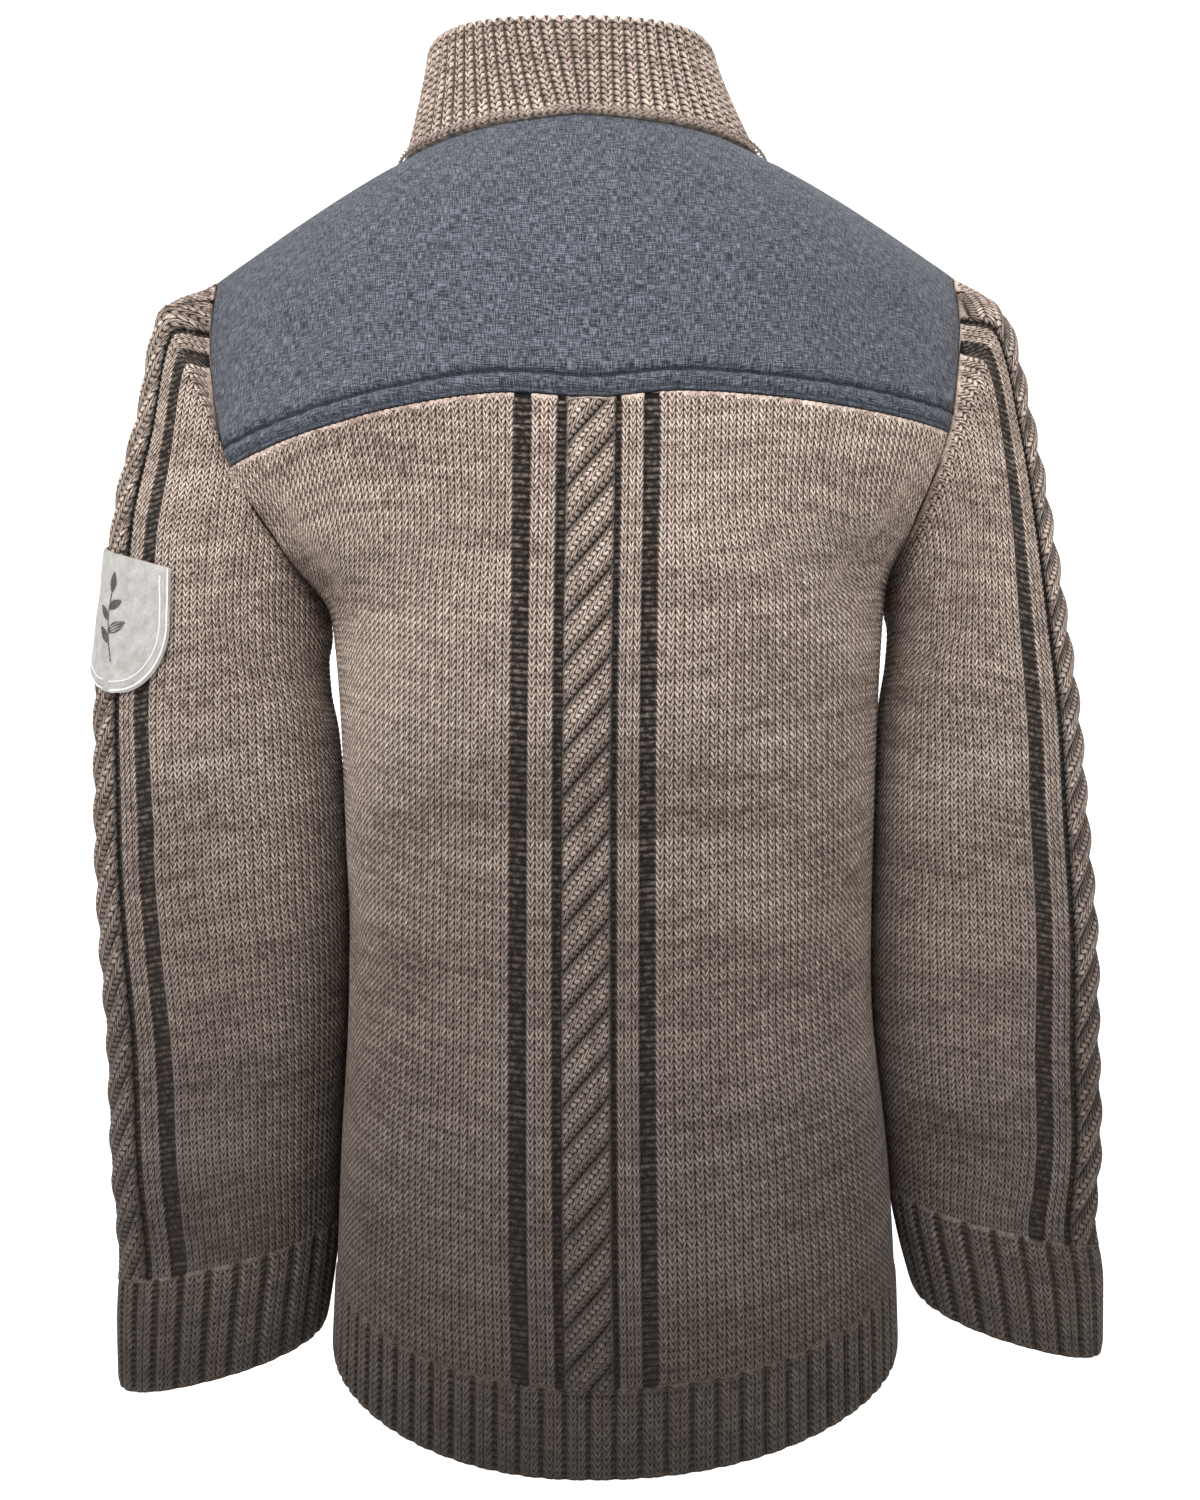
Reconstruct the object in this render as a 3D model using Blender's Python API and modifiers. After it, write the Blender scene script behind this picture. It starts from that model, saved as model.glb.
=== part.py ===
"""Cable knit cardigan in the shape it has when worn, hollow, in metres.

+Z is up and the wearer faces +Y, so the knitted back faces -Y and the wearer's left arm is at -X.
The origin is the middle of the neck opening, level with the neck seam at the centre back.
Each piece is a closed wall between an outer surface, which carries ribs and cables, and a plain inner one.
"""
import math
from collections import namedtuple

import bpy
import numpy as np
from mathutils import Vector

# Walls and seams
KNIT_WALL = 0.003
CLOTH_WALL = 0.0028
COLLAR_WALL = 0.0058
BAND_WALL = 0.003
SEAM_GAP = 0.0003
SEAM_START_BELOW = 0.004
ARMHOLE_GAP = 0.0008
NECK_GAP = 0.0008
LAP_GAP = 0.0008
BAND_GAP = 0.0006

# Knit relief, measured from the plain knit surface
RIB_HEIGHT = 0.0010
GUTTER_DEPTH = 0.0012
CABLE_WIDTH = 0.025
CABLE_PITCH = 0.0224
SLEEVE_CABLE_PITCH = 0.0262
CABLE_BASE = 0.0004
CABLE_HEIGHT = 0.0042
CABLE_END_HEIGHT = 0.0010
HEM_HEIGHT = 0.047
HEM_RIB_PITCH = 0.0125
CUFF_HEIGHT = 0.064
CUFF_RIB_PITCH = 0.0150
COLLAR_RIB_PITCH = 0.0072
COLLAR_RIB_HEIGHT = 0.0008

# Neck opening, seen from above
NECK_HALF_WIDTH = 0.107
NECK_BACK = 0.075
NECK_FRONT = 0.085

# Front closure
BAND_WIDTH = 0.036
BUTTON_COUNT = 6
BUTTON_RADIUS = 0.0105
BUTTON_THICKNESS = 0.0042
FIRST_BUTTON_UP = 0.035
LAST_BUTTON_DOWN = 0.052

FRONT_LIFT = 0.0032
FRONT_LIFT_RUN = 0.030
FRONT_LIFT_FLAT = 0.020
OVER_BAND_OFFSET = BAND_WALL + RIB_HEIGHT + LAP_GAP
BAND_SHORTER_UNDER = 0.001
BAND_SHORTER_OVER = 0.007

# Mesh density
STEPS_PER_ROW = 8
HALF_COLUMNS = 60
BODY_ROWS = 19
INNER_ROWS = 13
BAND_ROWS = 14
YOKE_ROWS = 8
YOKE_INNER_ROWS = 7
SLEEVE_ROWS = 16
SLEEVE_INNER_COLUMNS = 12
SLEEVE_PLAIN_DENSITY = 17
COLLAR_INNER_COLUMNS = 40
BUTTON_STEPS = 16

# A body rail runs from one armhole or side seam over the middle to the other. Fullness and turn shape its
# plan, and droop shapes how its height falls from the middle to the ends.
Rail = namedtuple("Rail", "name mid_x mid_y mid_z left_x left_y left_z right_x right_y right_z "
                          "fullness turn droop")
BACK_RAILS = (
    Rail("hem", 0.0045, -0.1400, -0.7150, -0.1450, 0.004, -0.6880, 0.1830, 0.004, -0.6880, 2.4, 2.4, 2.0),
    Rail("rib_top", 0.0045, -0.1415, -0.6680, -0.1430, 0.004, -0.6430, 0.1815, 0.004, -0.6430, 2.4, 2.4, 2.0),
    Rail("hip", 0.0035, -0.1460, -0.5980, -0.1405, 0.004, -0.5790, 0.1775, 0.004, -0.5790, 2.4, 2.4, 2.0),
    Rail("waist", 0.0028, -0.1390, -0.4900, -0.1360, 0.004, -0.4750, 0.1680, 0.004, -0.4750, 2.4, 2.4, 2.0),
    Rail("ribs", 0.0030, -0.1370, -0.3750, -0.1400, 0.004, -0.3680, 0.1715, 0.004, -0.3620, 2.3, 2.2, 2.0),
    Rail("underarm", 0.0040, -0.1390, -0.2730, -0.1490, 0.004, -0.2680, 0.1790, 0.004, -0.2520, 2.2, 1.8, 2.0),
    Rail("low_blade", 0.0050, -0.1395, -0.2150, -0.1700, -0.052, -0.2320, 0.1890, -0.052, -0.2120,
         2.2, 1.4, 2.0),
    Rail("yoke_edge", 0.0055, -0.1350, -0.1600, -0.1960, -0.065, -0.1890, 0.2030, -0.065, -0.1690,
         2.3, 1.2, 2.0),
    Rail("blade", 0.0040, -0.1200, -0.0850, -0.2083, -0.052, -0.1363, 0.2120, -0.052, -0.1190,
         2.3, 1.1, 1.9),
    Rail("neck", 0.0000, -0.0780, 0.0000, -0.2145, -0.024, -0.0880, 0.2165, -0.024, -0.0800,
         2.2, 1.0, 1.6),
    Rail("ridge", 0.0000, -0.0200, 0.0400, -0.2155, 0.000, -0.0660, 0.2175, 0.000, -0.0630,
         2.2, 1.0, 1.18),
    Rail("shoulder_seam", 0.0000, 0.0200, 0.0440, -0.2145, 0.020, -0.0720, 0.2165, 0.020, -0.0690,
         2.2, 1.0, 1.15),
)
FRONT_MIDDLES = {"hem": (0.142, -0.712), "rib_top": (0.1435, -0.665), "hip": (0.148, -0.596),
                 "waist": (0.141, -0.487), "ribs": (0.139, -0.372), "underarm": (0.136, -0.270)}
FRONT_CHEST = (
    Rail("low_chest", 0.0050, 0.1330, -0.2080, -0.1680, 0.050, -0.2280, 0.1870, 0.050, -0.2080,
         2.2, 1.4, 2.0),
    Rail("chest", 0.0040, 0.1200, -0.1400, -0.1900, 0.062, -0.1750, 0.1980, 0.062, -0.1600,
         2.3, 1.2, 2.0),
    Rail("collarbone", 0.0020, 0.1000, -0.0770, -0.2030, 0.056, -0.1250, 0.2080, 0.056, -0.1120,
         2.3, 1.1, 1.9),
    Rail("neck_front", 0.0000, 0.0700, -0.0350, -0.2125, 0.038, -0.0890, 0.2145, 0.038, -0.0830,
         2.2, 1.0, 1.6),
)
YOKE_DIP = 0.0055
YOKE_DIP_WIDTH = 0.030
YOKE_STATIONS = np.concatenate([np.linspace(0.0, 0.22, 6), np.linspace(0.255, 0.745, 16),
                                np.linspace(0.78, 1.0, 6)])
YOKE_INNER_STATIONS = np.concatenate([[0.0], YOKE_STATIONS[2:-2:2], [1.0]])

# The padded band along the yoke's lower edge: height over the edge, and height over the cloth
Band = namedtuple("Band", "up relief")
YOKE_BAND = (Band(0.0, 0.0008), Band(0.004, 0.0017), Band(0.0095, 0.0015), Band(0.0125, 0.0003))
YOKE_ABOVE_BAND = Band(0.020, 0.0006)

# Shares of the width where the plain knit ends beside the middle and beside the neck
BACK_PLAIN_END = 0.405
FRONT_BESIDE_NECK = 0.240
FRONT_UNDER_NECK = 0.275
SLEEVE_PLAIN_ENDS = {-1: (0.465, 0.735), 1: (0.265, 0.535)}
CORNER_OUTSIDE = 0.0006
CORNER_INSIDE = -0.0012
CORNER_CLEAR_SHARE = 0.012

# A sleeve ring runs round the arm. It is as wide as the line from its outer to its inner point.
Ring = namedtuple("Ring", "name outer_x outer_z inner_x inner_z half_depth centre_y")
LEFT_RINGS = (
    Ring("cuff_end", -0.2695, -0.7115, -0.1530, -0.6830, 0.0520, -0.010),
    Ring("cuff_middle", -0.2705, -0.6740, -0.1480, -0.6520, 0.0520, -0.010),
    Ring("cuff_top", -0.2690, -0.6380, -0.1447, -0.6220, 0.0545, -0.010),
    Ring("wrist", -0.2730, -0.5800, -0.1424, -0.5800, 0.0570, -0.010),
    Ring("forearm", -0.2750, -0.5120, -0.1399, -0.5250, 0.0580, -0.011),
    Ring("below_elbow", -0.2790, -0.4500, -0.1380, -0.4750, 0.0600, -0.012),
    Ring("elbow", -0.2810, -0.3850, -0.1392, -0.4250, 0.0620, -0.012),
    Ring("above_elbow", -0.2810, -0.3200, -0.1414, -0.3780, 0.0640, -0.010),
    Ring("upper_arm", -0.2750, -0.2520, -0.1458, -0.3350, 0.0655, -0.007),
    Ring("biceps", -0.2690, -0.2000, -0.1508, -0.3120, 0.0660, -0.005),
    Ring("high_arm", -0.2555, -0.1446, -0.1525, -0.2930, 0.0660, -0.004),
    Ring("cap", -0.2425, -0.0850, -0.1510, -0.2790, 0.0655, -0.002),
)
RIGHT_RINGS = (
    Ring("cuff_end", 0.3015, -0.6920, 0.1965, -0.6640, 0.0520, -0.010),
    Ring("cuff_middle", 0.3020, -0.6520, 0.1880, -0.6330, 0.0520, -0.010),
    Ring("cuff_top", 0.2970, -0.6120, 0.1820, -0.6020, 0.0545, -0.010),
    Ring("wrist", 0.2995, -0.5700, 0.1790, -0.5750, 0.0570, -0.010),
    Ring("forearm", 0.2980, -0.5120, 0.1735, -0.5250, 0.0580, -0.011),
    Ring("below_elbow", 0.2963, -0.4500, 0.1700, -0.4750, 0.0600, -0.012),
    Ring("elbow", 0.2902, -0.3850, 0.1715, -0.4220, 0.0620, -0.012),
    Ring("above_elbow", 0.2847, -0.3200, 0.1730, -0.3680, 0.0640, -0.010),
    Ring("upper_arm", 0.2752, -0.2520, 0.1764, -0.3220, 0.0655, -0.007),
    Ring("biceps", 0.2668, -0.2000, 0.1812, -0.2960, 0.0660, -0.005),
    Ring("high_arm", 0.2560, -0.1446, 0.1830, -0.2760, 0.0660, -0.004),
    Ring("cap", 0.2405, -0.0850, 0.1812, -0.2620, 0.0655, -0.002),
)
SLEEVE_FULLNESS = 2.25
CABLE_BEHIND_OUTER_LINE = 0.043

# A fold is a soft trough, or a ridge where its depth is negative, between two places. Across is measured
# from the middle of the panel and up from its lower edge.
Fold = namedtuple("Fold", "across_1 up_1 across_2 up_2 width depth")
BACK_FOLDS = (
    Fold(-0.205, 0.535, -0.165, 0.440, 0.013, 0.0065),
    Fold(-0.180, 0.525, -0.120, 0.450, 0.012, 0.0035),
    Fold(-0.190, 0.500, -0.150, 0.405, 0.010, -0.0030),
    Fold(-0.150, 0.540, -0.095, 0.490, 0.012, 0.0020),
    Fold(0.205, 0.520, 0.165, 0.440, 0.013, 0.0055),
    Fold(0.195, 0.450, 0.130, 0.437, 0.011, 0.0040),
    Fold(0.185, 0.475, 0.130, 0.465, 0.010, -0.0025),
    Fold(0.150, 0.535, 0.105, 0.480, 0.012, 0.0022),
    Fold(-0.200, 0.260, -0.105, 0.215, 0.016, 0.0025),
    Fold(0.205, 0.285, 0.120, 0.235, 0.016, 0.0025),
    Fold(-0.150, 0.120, -0.060, 0.085, 0.018, 0.0018),
    Fold(0.060, 0.095, 0.160, 0.135, 0.018, 0.0018),
    Fold(0.020, 0.640, 0.085, 0.600, 0.012, 0.0018),
    Fold(-0.130, 0.600, -0.185, 0.570, 0.011, 0.0022),
    Fold(0.145, 0.625, 0.190, 0.590, 0.011, 0.0022),
)
FRONT_FOLDS = (
    Fold(-0.205, 0.520, -0.160, 0.435, 0.013, 0.0055),
    Fold(-0.185, 0.500, -0.120, 0.450, 0.012, 0.0030),
    Fold(0.205, 0.530, 0.160, 0.440, 0.013, 0.0055),
    Fold(0.180, 0.510, 0.115, 0.465, 0.012, 0.0030),
    Fold(-0.200, 0.250, -0.100, 0.210, 0.016, 0.0025),
    Fold(0.205, 0.270, 0.110, 0.225, 0.016, 0.0025),
    Fold(-0.150, 0.105, -0.070, 0.085, 0.018, 0.0018),
    Fold(0.070, 0.100, 0.150, 0.125, 0.018, 0.0018),
)
# On a sleeve, across is measured round the arm from the outermost line, positive anticlockwise from above.
SLEEVE_FOLDS_LEFT = (
    Fold(0.150, 0.420, 0.090, 0.470, 0.010, 0.0035),
    Fold(0.165, 0.385, 0.100, 0.425, 0.010, 0.0030),
    Fold(0.150, 0.330, 0.095, 0.350, 0.011, 0.0025),
    Fold(0.170, 0.265, 0.090, 0.245, 0.012, 0.0028),
    Fold(0.165, 0.215, 0.100, 0.200, 0.011, 0.0022),
    Fold(0.150, 0.120, 0.080, 0.105, 0.010, 0.0018),
    Fold(-0.150, 0.415, -0.090, 0.460, 0.010, 0.0035),
    Fold(-0.165, 0.300, -0.085, 0.275, 0.012, 0.0028),
    Fold(-0.160, 0.235, -0.090, 0.220, 0.011, 0.0024),
    Fold(-0.145, 0.130, -0.080, 0.110, 0.010, 0.0018),
)
RIGHT_FOLDS_LOWER_BACK = 0.012
RIGHT_FOLDS_LOWER_FRONT = 0.004
SLEEVE_FOLDS_RIGHT = tuple(
    Fold(-fold.across_1, fold.up_1 - RIGHT_FOLDS_LOWER_BACK,
         -fold.across_2, fold.up_2 - RIGHT_FOLDS_LOWER_FRONT, fold.width, fold.depth)
    for fold in SLEEVE_FOLDS_LEFT)

# Rows of a ribbed hem or cuff: share of its height, and share of the rib relief
RibRow = namedtuple("RibRow", "share strength")
RIB_ROWS = (RibRow(0.0, 0.7), RibRow(0.45, 1.0), RibRow(0.92, 1.0))
# One 2x1 rib: share of the pitch, and height
RIB_SHAPE = ((0.0, -GUTTER_DEPTH), (0.30, RIB_HEIGHT), (0.72, RIB_HEIGHT))
HEM_SHARE_OF_EDGE = 0.09

# Relief across a cable panel: distance from the middle of the cable, and height over the plain knit
Step = namedtuple("Step", "across height")
BACK_PANEL_LEFT = (Step(-0.0395, 0.0), Step(-0.0380, -GUTTER_DEPTH), Step(-0.0315, -GUTTER_DEPTH),
                   Step(-0.0300, RIB_HEIGHT), Step(-0.0175, RIB_HEIGHT), Step(-0.0165, -GUTTER_DEPTH),
                   Step(-0.0132, -GUTTER_DEPTH))
BACK_PANEL_RIGHT = (Step(0.0132, -GUTTER_DEPTH), Step(0.0148, -GUTTER_DEPTH), Step(0.0158, RIB_HEIGHT),
                    Step(0.0268, RIB_HEIGHT), Step(0.0280, -GUTTER_DEPTH), Step(0.0340, -GUTTER_DEPTH),
                    Step(0.0355, 0.0))
SLEEVE_PANEL_SIDE = (Step(0.0132, -GUTTER_DEPTH), Step(0.0160, -GUTTER_DEPTH), Step(0.0172, RIB_HEIGHT),
                     Step(0.0290, RIB_HEIGHT), Step(0.0305, -GUTTER_DEPTH), Step(0.0370, -GUTTER_DEPTH),
                     Step(0.0385, 0.0))
CABLE_LINES = (-1.0, -0.72, -0.28, 0.28, 0.72, 1.0)
CABLE_STEPS = 3
SLANT_EVEN = 0.42
SLANT_AT_EDGES = 0.33

# Collar rows: share of the way up, distance out from the collar's own line, and share of rib relief
CollarRow = namedtuple("CollarRow", "share out relief")
COLLAR_ROWS = (CollarRow(0.010, 0.0024, 0.0), CollarRow(0.070, 0.0026, 0.0), CollarRow(0.110, 0.0004, 1.0),
               CollarRow(0.500, 0.0006, 1.0), CollarRow(0.940, 0.0, 1.0), CollarRow(1.0, -0.0028, 0.5))
COLLAR_TOP_HALF_WIDTH = 0.0835
COLLAR_TOP_BACK = 0.066
COLLAR_TOP_FRONT = 0.070
COLLAR_TOP_Z = 0.062
COLLAR_TOP_FRONT_DROP = 0.050
COLLAR_TOP_LEAN = -0.007
COLLAR_FULLNESS = 2.8
COLLAR_FRONT_GAP = 0.003
COLLAR_INNER_SHARES = (0.93, 0.62, 0.31, 0.0)
COLLAR_BEND = 1.25

# Patch on the wearer's left sleeve
PATCH_WIDTH = 0.086
PATCH_HEIGHT = 0.077
PATCH_ROUND_SHARE = 0.66
PATCH_CENTRE_BACK = 0.053
PATCH_BOTTOM_UP = 0.394
PATCH_WALL = 0.0016
PATCH_CLEAR = 0.0019
PATCH_SIDE_FALL = 0.0370
PATCH_OVER_CABLE = 0.0032
PATCH_OVER_CABLE_REACH = 0.024
PATCH_OVER_CABLE_RUN = 0.014
PATCH_CORNER_FULLNESS = 2.1
PATCH_POINT_SHARE = 0.015
PATCH_ROWS = np.concatenate([[0.0, 0.035, 0.11, 0.22, 0.38], np.linspace(0.55, 1.0, 4)])
PATCH_COLUMNS = 11
PATCH_INNER_COLUMNS = 9

COLOURS = {
    "knit": (0.150, 0.110, 0.090, 1.0),
    "yoke": (0.100, 0.115, 0.150, 1.0),
    "collar": (0.180, 0.135, 0.110, 1.0),
    "felt": (0.450, 0.450, 0.460, 1.0),
    "horn": (0.060, 0.040, 0.030, 1.0),
}


def clear_scene():
    for thing in list(bpy.data.objects):
        bpy.data.objects.remove(thing)


def fabric(name, colour, roughness=0.9):
    material = bpy.data.materials.new(name)
    material.use_nodes = True
    shader = material.node_tree.nodes["Principled BSDF"]
    shader.inputs["Base Color"].default_value = colour
    shader.inputs["Roughness"].default_value = roughness
    shader.inputs["Metallic"].default_value = 0.0
    return material


def smooth_through(places, values, wanted):
    """Read a smooth curve through rows of values at the wanted places."""
    places = np.asarray(places, float)
    values = np.asarray(values, float)
    gaps = np.diff(places)[:, None]
    climbs = np.diff(values, axis=0) / gaps
    before, after = climbs[:-1], climbs[1:]
    same_way = before * after > 0
    safe = np.where(same_way, before + after, 1.0)
    slopes = np.concatenate([climbs[:1], np.where(same_way, 2.0 * before * after / safe, 0.0), climbs[-1:]])
    cell = np.clip(np.searchsorted(places, wanted, side="right") - 1, 0, len(places) - 2)
    span = (places[cell + 1] - places[cell])[:, None]
    t = ((wanted - places[cell])[:, None]) / span
    low, high = values[cell], values[cell + 1]
    low_slope, high_slope = slopes[cell] * span, slopes[cell + 1] * span
    return ((2 * t ** 3 - 3 * t ** 2 + 1) * low + (t ** 3 - 2 * t ** 2 + t) * low_slope
            + (-2 * t ** 3 + 3 * t ** 2) * high + (t ** 3 - t ** 2) * high_slope)


def run_lengths(points):
    """Distance along a line of points, from its first point."""
    steps = np.linalg.norm(np.diff(points, axis=0), axis=1)
    return np.concatenate([[0.0], np.cumsum(steps)])


def even_line(points, count):
    """The same line with evenly spaced points."""
    along = run_lengths(points)
    wanted = np.linspace(0.0, along[-1], count)
    return np.stack([np.interp(wanted, along, points[:, k]) for k in range(3)], axis=1)


def unit(vectors):
    return vectors / np.maximum(np.linalg.norm(vectors, axis=-1, keepdims=True), 1e-9)


def fold_depth(folds, across, up):
    """Depth of all folds together at each place of a panel."""
    total = np.zeros_like(across)
    for fold in folds:
        start = np.array([fold.across_1, fold.up_1])
        run = np.array([fold.across_2, fold.up_2]) - start
        length = np.hypot(*run)
        run = run / length
        along = (across - start[0]) * run[0] + (up - start[1]) * run[1]
        aside = (across - start[0]) * run[1] - (up - start[1]) * run[0]
        taper = np.clip(np.sin(np.pi * np.clip(along / length, 0.0, 1.0)), 0.0, 1.0) ** 0.7
        total += fold.depth * taper * np.exp(-(aside / fold.width) ** 2)
    return total


def rail_grid(places, wanted_steps, stack):
    """Rows of points read smoothly through the given rows of points."""
    wanted = finer_places(places, wanted_steps)
    flat = smooth_through(places, stack.reshape(len(stack), -1), wanted)
    return flat.reshape(len(wanted), -1, 3)


def finer_places(places, steps):
    return np.concatenate([np.linspace(places[i], places[i + 1], steps, endpoint=False)
                           for i in range(len(places) - 1)] + [places[-1:]])


def body_rail(numbers):
    """One rail as two evenly spaced halves, from -X to +X."""
    rail = Rail("rail", *numbers)
    angle = np.linspace(0.0, math.pi / 2, 90)
    reach = np.sin(angle)
    bulge = np.maximum(1.0 - reach ** rail.fullness, 0.0) ** (1.0 / rail.turn)
    halves = []
    for end in ((rail.left_x, rail.left_y, rail.left_z), (rail.right_x, rail.right_y, rail.right_z)):
        line = np.stack([rail.mid_x + (end[0] - rail.mid_x) * reach,
                         end[1] + (rail.mid_y - end[1]) * bulge,
                         rail.mid_z + (end[2] - rail.mid_z) * reach ** rail.droop], axis=1)
        halves.append(even_line(line, HALF_COLUMNS + 1))
    return np.concatenate([halves[0][::-1], halves[1][1:]])


def body_sheet(rails, folds, facing_front):
    """A grid over the back or the front, from the hem up to the shoulder seam."""
    numbers = np.array([rail[1:] for rail in rails], float)
    places = 0.5 * (run_lengths(numbers[:, 0:3]) + run_lengths(numbers[:, 3:6]))
    wanted = finer_places(places, STEPS_PER_ROW)
    points = np.stack([body_rail(row) for row in smooth_through(places, numbers, wanted)])
    if facing_front:
        points = points[:, ::-1]
    sheet = finish_sheet(points, False, folds)
    sheet["rail_rows"] = {rail.name: i * STEPS_PER_ROW for i, rail in enumerate(rails)}
    return sheet


def front_rails():
    """The front shares its side seams and its shoulder seam with the back."""
    rails = []
    for rail in BACK_RAILS:
        if rail.name in FRONT_MIDDLES:
            depth, height = FRONT_MIDDLES[rail.name]
            rails.append(rail._replace(mid_y=depth, mid_z=height))
    return tuple(rails) + FRONT_CHEST + (BACK_RAILS[-1],)


def two_halves(first, second):
    return np.concatenate([even_line(first, HALF_COLUMNS + 1), even_line(second, HALF_COLUMNS + 1)[1:]])


def ring_line(ring, side):
    """A sleeve ring from its inner point, anticlockwise from above, as two evenly spaced halves."""
    angle = np.linspace(0.0, 2 * math.pi, 361)
    across, deep = np.cos(angle), np.sin(angle)
    across = np.sign(across) * np.abs(across) ** (2 / SLEEVE_FULLNESS)
    deep = np.sign(deep) * np.abs(deep) ** (2 / SLEEVE_FULLNESS)
    inner = np.array([ring.inner_x, ring.centre_y, ring.inner_z])
    outer = np.array([ring.outer_x, ring.centre_y, ring.outer_z])
    depth = np.array([0.0, -side * ring.half_depth, 0.0])
    line = (inner + outer) / 2 + across[:, None] * (inner - outer) / 2 + deep[:, None] * depth
    return two_halves(line[:181], line[180:])


def armhole_line(back, front, side):
    """The armhole seam from the underarm point, anticlockwise from above."""
    back_column, front_column = (0, -1) if side < 0 else (-1, 0)
    back_edge = back["points"][back["rail_rows"]["underarm"]:, back_column]
    front_edge = front["points"][front["rail_rows"]["underarm"]:, front_column]
    shoulder = back["rail_rows"]["ridge"] - back["rail_rows"]["underarm"]
    back_half = back_edge[:shoulder + 1]
    front_half = np.concatenate([front_edge, back_edge[shoulder:][::-1][1:]])
    if side < 0:
        return two_halves(front_half, back_half[::-1])
    return two_halves(back_half, front_half[::-1])


def sleeve_sheet(rings, armhole, side, folds):
    """A closed grid round the arm, from the cuff up to the armhole seam."""
    outward = unit(np.array([side * 0.95, 0.0, -0.31]))
    lines = [ring_line(ring, side) for ring in rings] + [armhole + outward * ARMHOLE_GAP]
    stack = np.stack(lines)
    places = run_lengths(stack.mean(axis=1))
    return finish_sheet(rail_grid(places, STEPS_PER_ROW, stack), True, folds)


def sheet_normals(points, closed):
    if closed:
        sideways = np.gradient(points, axis=1)
        sideways[:, 0] = sideways[:, -1] = points[:, 1] - points[:, -2]
    else:
        sideways = np.gradient(points, axis=1)
    return unit(np.cross(sideways, np.gradient(points, axis=0)))


def finish_sheet(points, closed, folds):
    """Press the folds into a grid of points, and add its normals and its distances across and up."""
    steps = np.linalg.norm(np.diff(points, axis=1), axis=2)
    across = np.concatenate([np.zeros((len(points), 1)), np.cumsum(steps, axis=1)], axis=1)
    across = across - across[:, HALF_COLUMNS:HALF_COLUMNS + 1]
    rises = np.linalg.norm(np.diff(points, axis=0), axis=2)
    up = np.concatenate([np.zeros((1, points.shape[1])), np.cumsum(rises, axis=0)])
    points = points - sheet_normals(points, closed) * fold_depth(folds, across, up)[..., None]
    return {"points": points, "normals": sheet_normals(points, closed), "across": across}


def share_line(sheet, share):
    """A line up the sheet at one share of its width."""
    return line_at(sheet, np.full(len(sheet["points"]), float(share)))


def metric_line(sheet, distance):
    """A line up the sheet at one distance from its middle line."""
    columns = np.linspace(0.0, 1.0, sheet["across"].shape[1])
    return line_at(sheet, np.array([np.interp(distance, row, columns) for row in sheet["across"]]))


def line_at(sheet, shares):
    columns = sheet["points"].shape[1] - 1
    place = np.clip(shares, 0.0, 1.0) * columns
    cell = np.minimum(place.astype(int), columns - 1)
    part = (place - cell)[:, None]
    rows = np.arange(len(shares))
    points = sheet["points"][rows, cell] * (1 - part) + sheet["points"][rows, cell + 1] * part
    normals = unit(sheet["normals"][rows, cell] * (1 - part) + sheet["normals"][rows, cell + 1] * part)
    return {"points": points, "normals": normals, "up": run_lengths(points), "shares": shares}


def pick(line, ups):
    """Points and normals of a line at the given heights along it."""
    points = np.stack([np.interp(ups, line["up"], line["points"][:, k]) for k in range(3)], axis=1)
    normals = np.stack([np.interp(ups, line["up"], line["normals"][:, k]) for k in range(3)], axis=1)
    return points, unit(normals)


def share_of(line, up):
    return float(np.interp(up, line["up"], line["shares"]))


def neck_top(line, neck_depth):
    """How far up a line reaches: the neckline if it runs into it, or else the shoulder seam."""
    x, y = line["points"][:, 0], line["points"][:, 1]
    inside = (x / NECK_HALF_WIDTH) ** 2 + (y / neck_depth) ** 2 - 1.0
    entered = np.nonzero((inside[1:] < 0) & (inside[:-1] >= 0))[0]
    if len(entered) == 0:
        return line["up"][-1] - SEAM_GAP
    row = entered[0]
    part = inside[row] / (inside[row] - inside[row + 1])
    return line["up"][row] + part * (line["up"][row + 1] - line["up"][row])


def neck_corners(sheet, shares):
    """The given shares, with one more on each side of both corners between neckline and shoulder seam."""
    columns = np.linspace(0.0, 1.0, sheet["points"].shape[1])
    seam_x = sheet["points"][-1, :, 0]
    order = np.argsort(seam_x)
    corners = [float(np.interp(side * (NECK_HALF_WIDTH + beside), seam_x[order], columns[order]))
               for side in (-1.0, 1.0) for beside in (CORNER_INSIDE, CORNER_OUTSIDE)]
    kept = [share for share in shares if min(abs(share - corner) for corner in corners) > CORNER_CLEAR_SHARE]
    return np.array(sorted(kept + [corner for corner in corners if shares[0] < corner < shares[-1]]))


def yoke_edge_up(back, line):
    """Height of the yoke's lower edge on a line of the back. It runs straight from one station to the next."""
    row = back["rail_rows"]["yoke_edge"]
    width = back["across"][row, -1] - back["across"][row, 0]
    dips = YOKE_DIP * np.exp(-((YOKE_STATIONS - 0.5) * width / YOKE_DIP_WIDTH) ** 2)
    return line["up"][row] - float(np.interp(line["shares"][row], YOKE_STATIONS, dips))


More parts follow.
